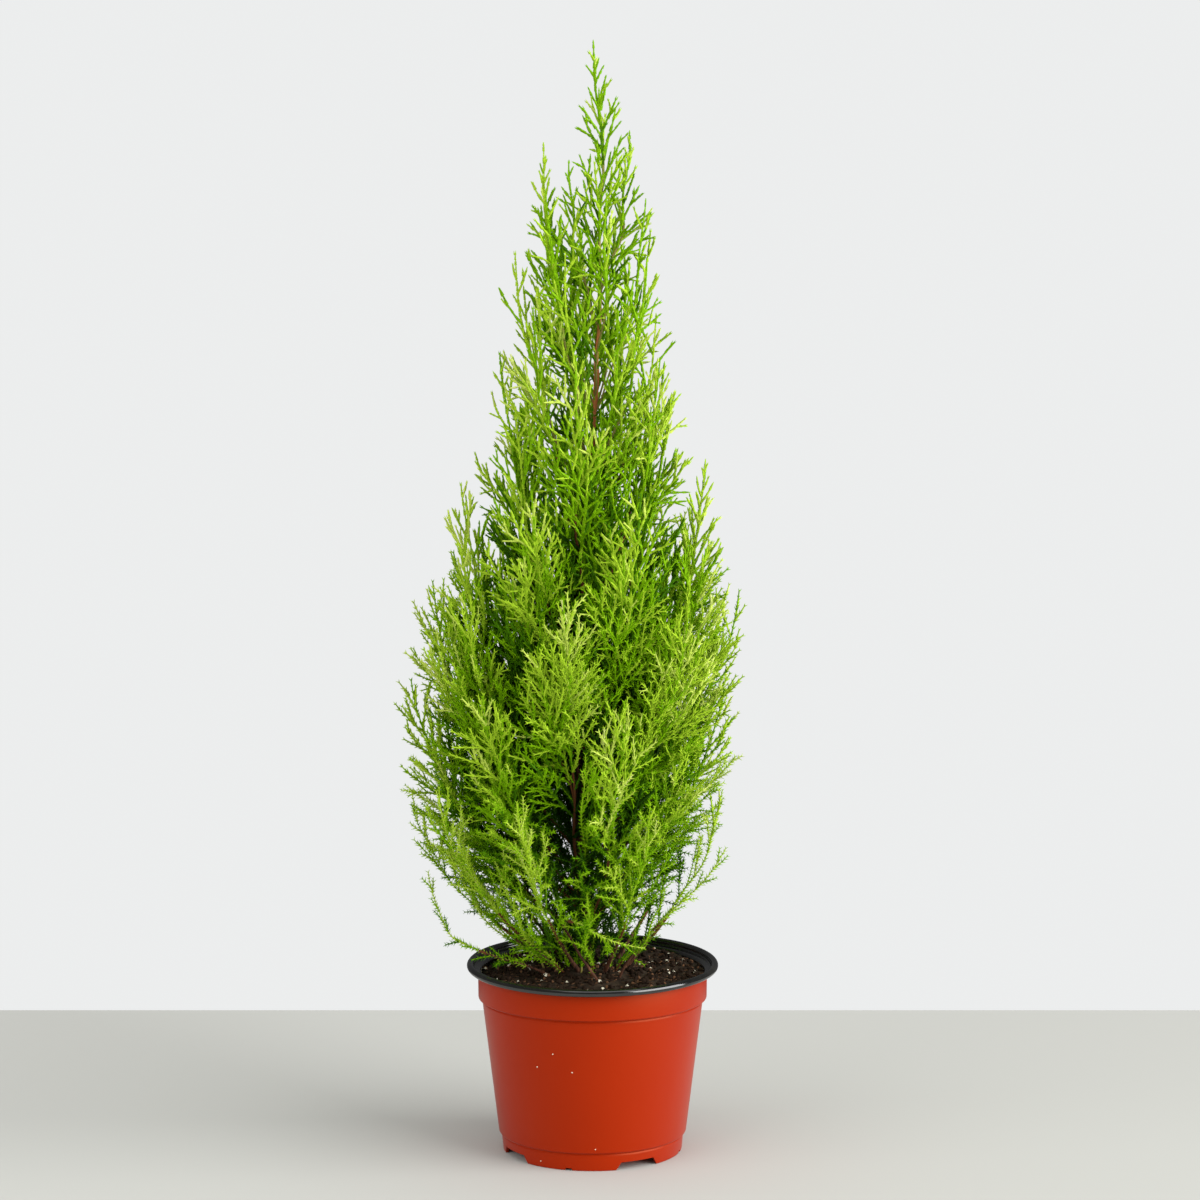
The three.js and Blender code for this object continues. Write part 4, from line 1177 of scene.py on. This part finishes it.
def grow_laterals(group, stem, own, others, spacing, full, bare, free, rng):
    """Laterals of one stem that stay in its space, with all that grows on them.

    full gives a lateral's wished length from the shares of the stem behind it and the length left.
    """
    length = arcs(stem[None])[0, -1]
    leader = group == "leaders"
    bare_tip = LEADER_BARE_TIP if leader else LATERAL_BARE_TIP
    line, along, whole, starts, tangents, order = stations(stem[None], spacing, bare * length, bare_tip, rng)
    count = len(line)
    outer = (along - bare * length) / (length - bare * length)
    wished = full(outer, whole - along) * rng.uniform(*LENGTH_SPREAD, count)
    height = starts[:, 2]
    middle_angle = LEADER_ANGLE if leader else from_table(LATERAL_ANGLES, height)
    spread = rng.uniform(-LATERAL_ANGLE_SPREAD, LATERAL_ANGLE_SPREAD, count)
    angles = np.radians(middle_angle + spread * (LEADER_ANGLE_SHARE if leader else 1))
    shortest = SHORTEST_ON_LEADER if leader else SHORTEST_LATERAL
    turn = GOLDEN_ANGLE * order + rng.uniform(-LATERAL_TURN_SPREAD, LATERAL_TURN_SPREAD, count)
    outward = turned(across_of(tangents), tangents, turn)
    rise = from_table(LATERAL_RISE, height) * rng.uniform(0, 2, count)
    bend = rng.normal(0, BEND_SPREAD, (count, 3)) + UP * rise[:, None]
    slack = (from_table(OUTLINE_SLACK, height) + rng.uniform(*OUTLINE_SPREAD, count))[:, None]
    best = np.zeros(count)
    for size in LATERAL_SIZES:
        lengths = wished * size
        tests = sprout(starts, tangents, outward, lengths, angles, LATERAL_TEST_POINTS, bend)
        tests = tests[:, LATERAL_TESTS]
        fits = has_room(tests)
        fits &= nearest(tests, others) > nearest(tests, own) - from_table(SPACE_SHARED, height)[:, None]
        if group != "inner":
            fits &= nearest(tests, TRUNK_LINE) > TRUNK_ROOM
        if not free:
            trim = from_table(RIGHT_TRIM, tests[..., 2]) * np.clip(tests[..., 0] / RIGHT_TRIM_REACH, 0, 1)
            fits &= beyond_crown(tests) + trim < slack
        fits = fits.all(1) & (lengths >= shortest)
        best = np.where((best == 0) & fits, lengths, best)
    keep = best > 0
    laterals = sprout(starts[keep], tangents[keep], outward[keep], best[keep], angles[keep],
                      LATERAL_POINTS, bend[keep])
    middle = laterals[:, LATERAL_POINTS // 2]
    grown = maturity(middle[:, 2]) + rng.normal(0, KIND_SPREAD, len(laterals))
    kinds = np.digitize(grown, KIND_STEPS)
    # Painted shade and light: the tone, and so the green, is low deep inside the crown and low down, and high
    # at its outline, where the young growth is also paler in itself.
    inside = from_table(INSIDE_TONES, middle[:, 2])
    outside = from_table(OUTSIDE_TONES, middle[:, 2])
    lit = from_table(LIT_SHARES, share_of_crown(middle))
    tone = inside + (outside - inside) * lit + rng.normal(0, LATERAL_TONE_SPREAD, len(laterals))
    keep_leafy(group, laterals, kinds, tone, stout=LATERAL_STOUTNESS)
    for kind in range(len(KINDS)):
        chosen = kinds == kind
        grow_shoots(group, laterals[chosen], kind, tone[chosen], rng)


def tapering_spray(reach, tip_rule):
    """Wished length of laterals that narrow a plume to a point."""
    share, least = tip_rule

    def length(outer, left):
        return np.minimum(reach / math.sin(SPRAY_ANGLE) * (1 - PLUME_TAPER * outer), share * left + least)
    return length


def sprig_spray(outer, left):
    longest, less = SPRIG_SPRAY
    share, least = SPRIG_TIP_RULE
    return np.minimum(longest - less * outer, share * left + least)


def inner_spray(outer, left):
    return from_table(INNER_SPRAY, outer)


def swayed(stem, from_soil, rng):
    """The stem with slow bends, none at its foot and tip, nor where it has bark of its own."""
    share = np.linspace(0, 1, len(stem))
    room = np.sin(np.pi * share) * (np.clip(share / STEM_SHARE - 1, 0, 1) if from_soil else 1)
    turns = rng.uniform(*STEM_SWAY_TURNS, 2)
    starts = rng.uniform(0, 2 * np.pi, 2)
    waves = STEM_SWAY * np.sin(2 * np.pi * turns * share[:, None] + starts) * room[:, None]
    return stem + np.concatenate([waves, np.zeros((len(stem), 1))], 1)


def spray_rule(p, stem):
    """Spacing and wished lengths of a plume's laterals."""
    if p["group"] == "sprigs":
        return SPRIG_SPACING, sprig_spray
    if p["group"] == "leaders":
        return LEADER_SPACING, tapering_spray(p["reach"], LEADER_TIP_RULE)
    return from_table(LATERAL_SPACING, stem[:, 2].mean()), tapering_spray(p["reach"], PLUME_TIP_RULE)


def keep_stem(p, stem, rng):
    """A plume's own stem: leafy towards its tip, bare and brown at its foot."""
    group = p["group"]
    basal = p["name"].startswith("basal")
    leafless, brown, middle_tone = STEM_RULES.get("basal" if basal else group, OTHER_STEMS)
    tip = stem[leafless:]
    tone = np.array([middle_tone + rng.normal(0, STEM_TONE_SPREAD)])
    kind = np.digitize(maturity(tip[len(tip) // 2:][:1, 2]), KIND_STEPS)
    keep_leafy(group, tip[None], kind, tone, stout=STEM_STOUTNESS)
    bare_foot = stem[:brown + 1]
    if p["stem"] == STEM_SHARE or group == "sprigs":
        bare_foot = bezier(p["guides"], np.linspace(p["stem"], 1, PLUME_POINTS))[:brown]
    extra = basal or "between" in p["name"]
    foot_radius = BETWEEN_STEM_RADIUS if extra else PLUME_STEM_RADIUS
    end_radius = min(foot_radius, PLUME_STEM_END_RADIUS)
    fresh = basal or bare_foot[:, 2].mean() > FRESH_STEM_HEIGHT
    keep_woody(group, "twigs", bare_foot[None], foot_radius, end_radius, TAN if fresh else BROWN)


def grow_crown():
    """All the crown's cords, filed in leafy and woody."""
    rng = np.random.default_rng(SEED)
    plumes = source_plumes() + between_plumes() + basal_shoots()
    samples = [bezier(p["guides"], np.linspace(STEM_BARE, 1, SAMPLE_POINTS)) for p in plumes]
    for order, p in enumerate(plumes):
        group = p["group"]
        stem = bezier(p["guides"], np.linspace(STEM_BARE if p["stem"] else 0, 1, PLUME_POINTS))
        stem = swayed(stem, p["stem"], rng)
        others = np.concatenate([s for k, s in enumerate(samples) if k != order])
        spacing, full = spray_rule(p, stem)
        bare = SKIRT_BARE if group == "skirt" else BARE_LEFT * p["bare"]
        grow_laterals(group, stem, samples[order], others, spacing, full, bare, p["free"], rng)
        keep_stem(p, stem, rng)
    lower = TRUNK_LINE[INNER_START:INNER_DENSE_POINTS]
    upper = TRUNK_LINE[INNER_DENSE_POINTS:]
    for trunk, spacing in zip((lower, upper), INNER_SPACINGS):
        grow_laterals("inner", trunk, TRUNK_LINE, np.concatenate(samples), spacing, inner_spray,
                      0.0, False, rng)


# Geometry trees.

def new_tree(name, sizes):
    """A geometry tree with named inputs for its sizes. Returns it and its input sockets by name."""
    tree = bpy.data.node_groups.new(name, "GeometryNodeTree")
    tree.interface.new_socket("Geometry", in_out="OUTPUT", socket_type="NodeSocketGeometry")
    tree.interface.new_socket("Geometry", in_out="INPUT", socket_type="NodeSocketGeometry")
    for label in sizes:
        tree.interface.new_socket(label, in_out="INPUT", socket_type="NodeSocketFloat")
    return tree, tree.nodes.new("NodeGroupInput").outputs


def end_tree(tree, geometry, materials, field=None):
    """Realizes what the tree made and sets its materials, by an attribute where there are several."""
    made = add(tree, "GeometryNodeRealizeInstances", {"Geometry": geometry}).outputs["Geometry"]
    for place, material in enumerate(materials):
        links = {"Geometry": made, "Material": material}
        if field:
            # The whole numbers of a compare node are its inputs 2 and 3.
            same = add(tree, "FunctionNodeCompare", {2: attribute(tree, field, "INT"), 3: place},
                       data_type="INT", operation="EQUAL")
            links["Selection"] = same.outputs["Result"]
        made = add(tree, "GeometryNodeSetMaterial", links).outputs["Geometry"]
    tree.links.new(made, tree.nodes.new("NodeGroupOutput").inputs["Geometry"])


def run_tree(piece, tree, sizes):
    """The piece as its tree makes it, with these sizes on the tree's inputs."""
    modifier = piece.modifiers.new(tree.name, "NODES")
    modifier.node_group = tree
    for socket in tree.interface.items_tree:
        if socket.in_out == "INPUT" and socket.name in sizes:
            modifier[socket.identifier] = sizes[socket.name]
    return plain_mesh(piece)


def attribute(tree, field, kind="FLOAT"):
    return add(tree, "GeometryNodeInputNamedAttribute", {"Name": field}, data_type=kind).outputs["Attribute"]


def math_node(tree, operation, *values):
    return add(tree, "ShaderNodeMath", dict(enumerate(values)), operation=operation).outputs["Value"]


def vector(tree, x, y, z):
    return add(tree, "ShaderNodeCombineXYZ", {"X": x, "Y": y, "Z": z}).outputs["Vector"]


def scaled(tree, value, factor):
    return add(tree, "ShaderNodeVectorMath", {0: value, "Scale": factor}, operation="SCALE").outputs["Vector"]


def between(tree, low, high, seed):
    """A number that differs from one instance to the next. Numbers are inputs 2 and 3 and output 1."""
    return add(tree, "FunctionNodeRandomValue", {2: low, 3: high, "Seed": seed}, data_type="FLOAT").outputs[1]


def leaf_tree(kind):
    """Rings of leaves up a cord: needles that stand out from it, or scales that overlap and hide it."""
    ring, turn, sizes = LEAF_RULES[kind]
    tree, given = new_tree(KINDS[kind], sizes)
    curve = add(tree, "GeometryNodeMeshToCurve", {"Mesh": given["Geometry"]})
    even = add(tree, "GeometryNodeResampleCurve",
               {"Curve": curve.outputs["Curve"], "Length": given["Leaf Spacing"]}, mode="LENGTH")
    points = add(tree, "GeometryNodeCurveToPoints", {"Curve": even.outputs["Curve"]},
                 mode="EVALUATED").outputs
    leaf = add(tree, "GeometryNodeMeshCone", {
        "Vertices": LEAF_SIDES, "Radius Top": 0.0, "Radius Bottom": given["Leaf Width"],
        "Depth": given["Leaf Length"]}, fill_type="NGON")
    away = math_node(tree, "MULTIPLY", given["Stand Off"], -1.0)
    leaning = add(tree, "GeometryNodeTransform", {
        "Geometry": leaf.outputs["Mesh"], "Translation": vector(tree, 0.0, away, 0.0),
        "Rotation": vector(tree, given["Leaf Angle"], 0.0, 0.0)})
    leaves = add(tree, "GeometryNodeJoinGeometry")
    for order in range(ring):
        spun = add(tree, "GeometryNodeTransform", {
            "Geometry": leaning.outputs["Geometry"], "Rotation": (0, 0, 2 * math.pi * order / ring)})
        tree.links.new(spun.outputs["Geometry"], leaves.inputs["Geometry"])
    index = add(tree, "GeometryNodeInputIndex").outputs["Index"]
    spin = math_node(tree, "ADD", math_node(tree, "MULTIPLY", index, turn),
                     between(tree, *LEAF_SPIN, LEAF_SPIN_SEED))
    about_cord = add(tree, "FunctionNodeAxisAngleToRotation", {"Axis": (0, 0, 1), "Angle": spin})
    rotation = add(tree, "FunctionNodeRotateRotation",
                   {"Rotation": points["Rotation"], "Rotate By": about_cord.outputs["Rotation"]},
                   rotation_space="LOCAL")
    size = math_node(tree, "MULTIPLY", attribute(tree, "leaf_size"),
                     between(tree, *LEAF_SIZES, LEAF_SIZE_SEED))
    placed = add(tree, "GeometryNodeInstanceOnPoints", {
        "Points": points["Points"], "Instance": leaves.outputs["Geometry"],
        "Rotation": rotation.outputs["Rotation"], "Scale": size})
    end_tree(tree, placed.outputs["Instances"], TINTS[:GREENS], "tint")
    return tree, sizes


def twig_tree(sort):
    """Tapering twigs along the cords."""
    sizes = {"Thickness": 1.0}
    tree, given = new_tree(sort, sizes)
    curve = add(tree, "GeometryNodeMeshToCurve", {"Mesh": given["Geometry"]})
    outline = add(tree, "GeometryNodeCurvePrimitiveCircle", {"Resolution": TWIG_SIDES[sort], "Radius": 1.0})
    scale = math_node(tree, "MULTIPLY", attribute(tree, "radius"), given["Thickness"])
    tube = add(tree, "GeometryNodeCurveToMesh", {
        "Curve": curve.outputs["Curve"], "Profile Curve": outline.outputs["Curve"],
        "Scale": scale, "Fill Caps": True})
    smooth = add(tree, "GeometryNodeSetShadeSmooth", {"Geometry": tube.outputs["Mesh"]})
    end_tree(tree, smooth.outputs["Geometry"], TINTS, "tint")
    return tree, sizes


def skeleton(name, batches, fields):
    """A mesh of edges alone along the cords, with a point attribute for each field."""
    points, edges, values = [], [], {field: [] for field in fields}
    start = 0
    for lines, columns in batches:
        count, length = lines.shape[:2]
        points.append(lines.reshape(-1, 3))
        first = start + np.arange(count)[:, None] * length + np.arange(length - 1)[None]
        edges.append(np.stack([first, first + 1], -1).reshape(-1, 2))
        for field, column in zip(fields, columns):
            values[field].append(column.reshape(-1))
        start += count * length
    points, edges = np.concatenate(points) * MM, np.concatenate(edges)
    mesh = bpy.data.meshes.new(name)
    mesh.vertices.add(len(points))
    mesh.vertices.foreach_set("co", points.ravel())
    mesh.edges.add(len(edges))
    mesh.edges.foreach_set("vertices", edges.ravel())
    for field, kind in fields.items():
        column = mesh.attributes.new(field, kind, "POINT")
        column.data.foreach_set("value", np.concatenate(values[field]))
    mesh.update()
    return placed_piece(name, mesh)


def leaf_batches(cords):
    """Skeleton batches of leafy cords, with leaves that get smaller to the tip."""
    for lines, sizes, tints in cords:
        count, length = lines.shape[:2]
        taper = from_table(LEAF_TAPER, np.linspace(0, 1, length)[None])
        yield lines, (sizes[:, None] * taper, tints[:, None] * np.ones((count, length), int))


def twig_batches(cords):
    """Skeleton batches of woody cords, with radii that run from foot to tip."""
    for lines, radius, end_radius, tints in cords:
        count, length = lines.shape[:2]
        share = np.linspace(0, 1, length)[None]
        radii = (radius[:, None] * (1 - share) + end_radius[:, None] * share) * MM
        yield lines, (radii, tints[:, None] * np.ones((count, length), int))


# Bark.

def limb(line, radii, sides, ring_step, seed):
    """A tube with ridged bark along a line: its points and faces, closed at both ends."""
    arc = arcs(line[None])[0]
    places = np.linspace(0, arc[-1], max(int(arc[-1] / ring_step), FEWEST_RINGS))
    centres = np.stack([np.interp(places, arc, line[:, k]) for k in range(3)], 1)
    radius = np.interp(places, arc, radii)
    swing = np.stack([value_noise(places / STEM_WOBBLE_LENGTH, np.full_like(places, k), seed + k)
                      for k in range(3)], 1)
    centres = centres + STEM_WOBBLE * swing * np.minimum(places / STEM_WOBBLE_START, 1)[:, None]
    tangents = normalised(np.gradient(centres, axis=0))
    side = normalised(np.cross(tangents, RING_START))
    front = np.cross(side, tangents)
    angles = np.arange(sides) * 2 * np.pi / sides
    around, height = np.meshgrid(np.arange(sides), places)
    relief = sum(share * value_noise(around / width, height / length, seed + order)
                 for order, (width, length, share) in enumerate(BARK_WAVES))
    shape = radius[:, None] * (1 + BARK_RELIEF * relief)
    ring = np.cos(angles)[None, :, None] * side[:, None] + np.sin(angles)[None, :, None] * front[:, None]
    points = (centres[:, None] + ring * shape[..., None]).reshape(-1, 3)
    faces = band_faces(len(places), sides)
    faces.append(tuple(range(sides))[::-1])
    faces.append(tuple(range(len(points) - sides, len(points))))
    return points, faces


def limbs_piece(name, limbs, material):
    piece = mesh_piece(name, *joined(limbs), material)
    smoothed(piece, BARK_SHARP_ANGLE)
    return piece


def trunk_radius(height):
    share = np.clip((height - SOIL_TOP) / (TRUNK_TIP_HEIGHT - SOIL_TOP), 0, 1)
    taper = TRUNK_FOOT_RADIUS + (TRUNK_TIP_RADIUS - TRUNK_FOOT_RADIUS) * share ** TRUNK_TAPER_POWER
    return taper + ROOT_FLARE * np.exp(-(height - SOIL_TOP) / ROOT_FLARE_HEIGHT)


def trunk_limb():
    return limb(TRUNK_LINE, trunk_radius(TRUNK_LINE[:, 2]), TRUNK_SIDES, TRUNK_RING_STEP, TRUNK_SEED)


def stem_limbs():
    """Stems of the plumes that rise from the soil, each with its node's name, their feet sunk in the soil."""
    for number, p in enumerate(source_plumes()):
        if p["stem"]:
            route = bezier(p["guides"], np.linspace(0, p["stem"], STEM_POINTS))
            sunk = route[:1] - normalised(route[1] - route[0]) * STEM_FOOT_DEPTH
            route = np.concatenate([sunk, route])
            slim = SPRIG_STEM_SHARE if p["group"] == "sprigs" else 1
            radii = np.linspace(BASAL_STEM_RADIUS, BASAL_STEM_END_RADIUS, len(route)) * slim
            seed = STEM_SEED + STEM_SEED_STEP * number
            yield p["name"] + "_stem", limb(route, radii, STEM_SIDES, STEM_RING_STEP, seed)


# Camera, floor and light.

def camera():
    data = bpy.data.cameras.new("photograph camera")
    data.lens = CAMERA_LENS
    data.sensor_width = CAMERA_SENSOR
    eye = bpy.data.objects.new("photograph camera", data)
    eye.location = [c * MM for c in CAMERA_PLACE]
    eye.rotation_euler = (math.radians(90 - CAMERA_DIP), 0, 0)
    bpy.context.collection.objects.link(eye)
    bpy.context.scene.camera = eye


def softbox(name, place, aim, size, power, mirrored):
    data = bpy.data.lights.new(name, "AREA")
    data.shape = "RECTANGLE"
    data.size, data.size_y = size
    data.energy = power
    box = bpy.data.objects.new(name, data)
    box.location = place
    box.rotation_euler = (Vector(aim) - Vector(place)).to_track_quat("-Z", "Y").to_euler()
    box.visible_glossy = mirrored
    bpy.context.collection.objects.link(box)


def pale_world():
    """A pale wall all round, which lights less than it shows, and mirrors less still."""
    world = bpy.data.worlds.new("pale studio")
    world.use_nodes = True
    tree = world.node_tree
    seen = tree.nodes["Background"]
    seen.inputs["Color"].default_value = (*WALL_SEEN, 1)
    around, mirrored = (
        add(tree, "ShaderNodeBackground", {"Color": (*WALL_SEEN, 1), "Strength": strength})
        for strength in (WALL_LIGHT, WALL_MIRRORED))
    rays = add(tree, "ShaderNodeLightPath").outputs
    unseen = add(tree, "ShaderNodeMixShader", {
        0: rays["Is Glossy Ray"], 1: around.outputs["Background"], 2: mirrored.outputs["Background"]})
    mixed = add(tree, "ShaderNodeMixShader", {
        0: rays["Is Camera Ray"], 1: unseen.outputs["Shader"], 2: seen.outputs["Background"]})
    tree.links.new(mixed.outputs["Shader"], tree.nodes["World Output"].inputs["Surface"])
    bpy.context.scene.world = world


def studio():
    half = FLOOR_WIDTH / 2
    corners = ((-half, FLOOR_FRONT, 0), (half, FLOOR_FRONT, 0), (half, FLOOR_BACK, 0), (-half, FLOOR_BACK, 0))
    look = plain("pale_floor", FLOOR_COLOUR, roughness=0.95, specular=0.05)
    floor = mesh_piece("floor", corners, ((0, 1, 2, 3),), look)
    pale_world()
    for box in SOFTBOXES:
        softbox(*box)
    bpy.context.scene.view_settings.view_transform = "Standard"


# The pieces, each on the part's one body.

def finish_piece(piece, slot, *nodes):
    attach(piece, "root")
    if nodes:
        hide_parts(*nodes)


camera()
studio()
finish_piece(pot(), "pot", "pot")
finish_piece(rim(), "rim", "pot_rim")
finish_piece(soil(), "soil", "soil")
perlite_white = plain("perlite_white", (0.7, 0.65, 0.5), roughness=0.85, specular=0.3)
finish_piece(specks(perlite_white), "soil", "soil")
for name, material, sizes in (
    ("soil_crumbs", crumb("crumb_dark", (0.02, 0.011, 0.006)), CRUMBS),
    ("soil_red_crumbs", crumb("crumb_red_brown", (0.15, 0.074, 0.037)), RED_CRUMBS),
    ("soil_pale_crumbs", crumb("crumb_pale_brown", (0.26, 0.18, 0.1)), PALE_CRUMBS),
    ("perlite", perlite_white, PERLITE),
    ("perlite_grit", perlite_white, PERLITE_GRIT),
):
    finish_piece(strewn(name, material, sizes), "soil", "soil")
fibre_brown = plain("fibre_brown", (0.1, 0.05, 0.024), roughness=0.9, specular=0.15)
finish_piece(strewn("soil_fibres", fibre_brown, FIBRES, True), "soil", "soil")

bark_look = bark()
finish_piece(limbs_piece("trunk_bark", [trunk_limb()], bark_look), "bark", "trunk")
stem_nodes, stems = zip(*stem_limbs())
finish_piece(limbs_piece("stem_bark", stems, bark_look), "bark", *stem_nodes)

grow_crown()
masses = {}
for p in source_plumes():
    masses.setdefault(p["group"], []).append(p["name"])
leaf_trees = [leaf_tree(kind) for kind in range(len(KINDS))]
for (group, kind), cords in leafy.items():
    piece = skeleton(f"{group}_{KINDS[kind]}", leaf_batches(cords), LEAF_FIELDS)
    run_tree(piece, *leaf_trees[kind])
    finish_piece(piece, "foliage", *masses.get(group, ()))
twig_trees = {sort: twig_tree(sort) for sort in TWIG_SIDES}
for (group, sort), cords in woody.items():
    piece = skeleton(f"{group}_{sort}", twig_batches(cords), TWIG_FIELDS)
    run_tree(piece, *twig_trees[sort])
    finish_piece(piece, "bark", *masses.get(group, ()))
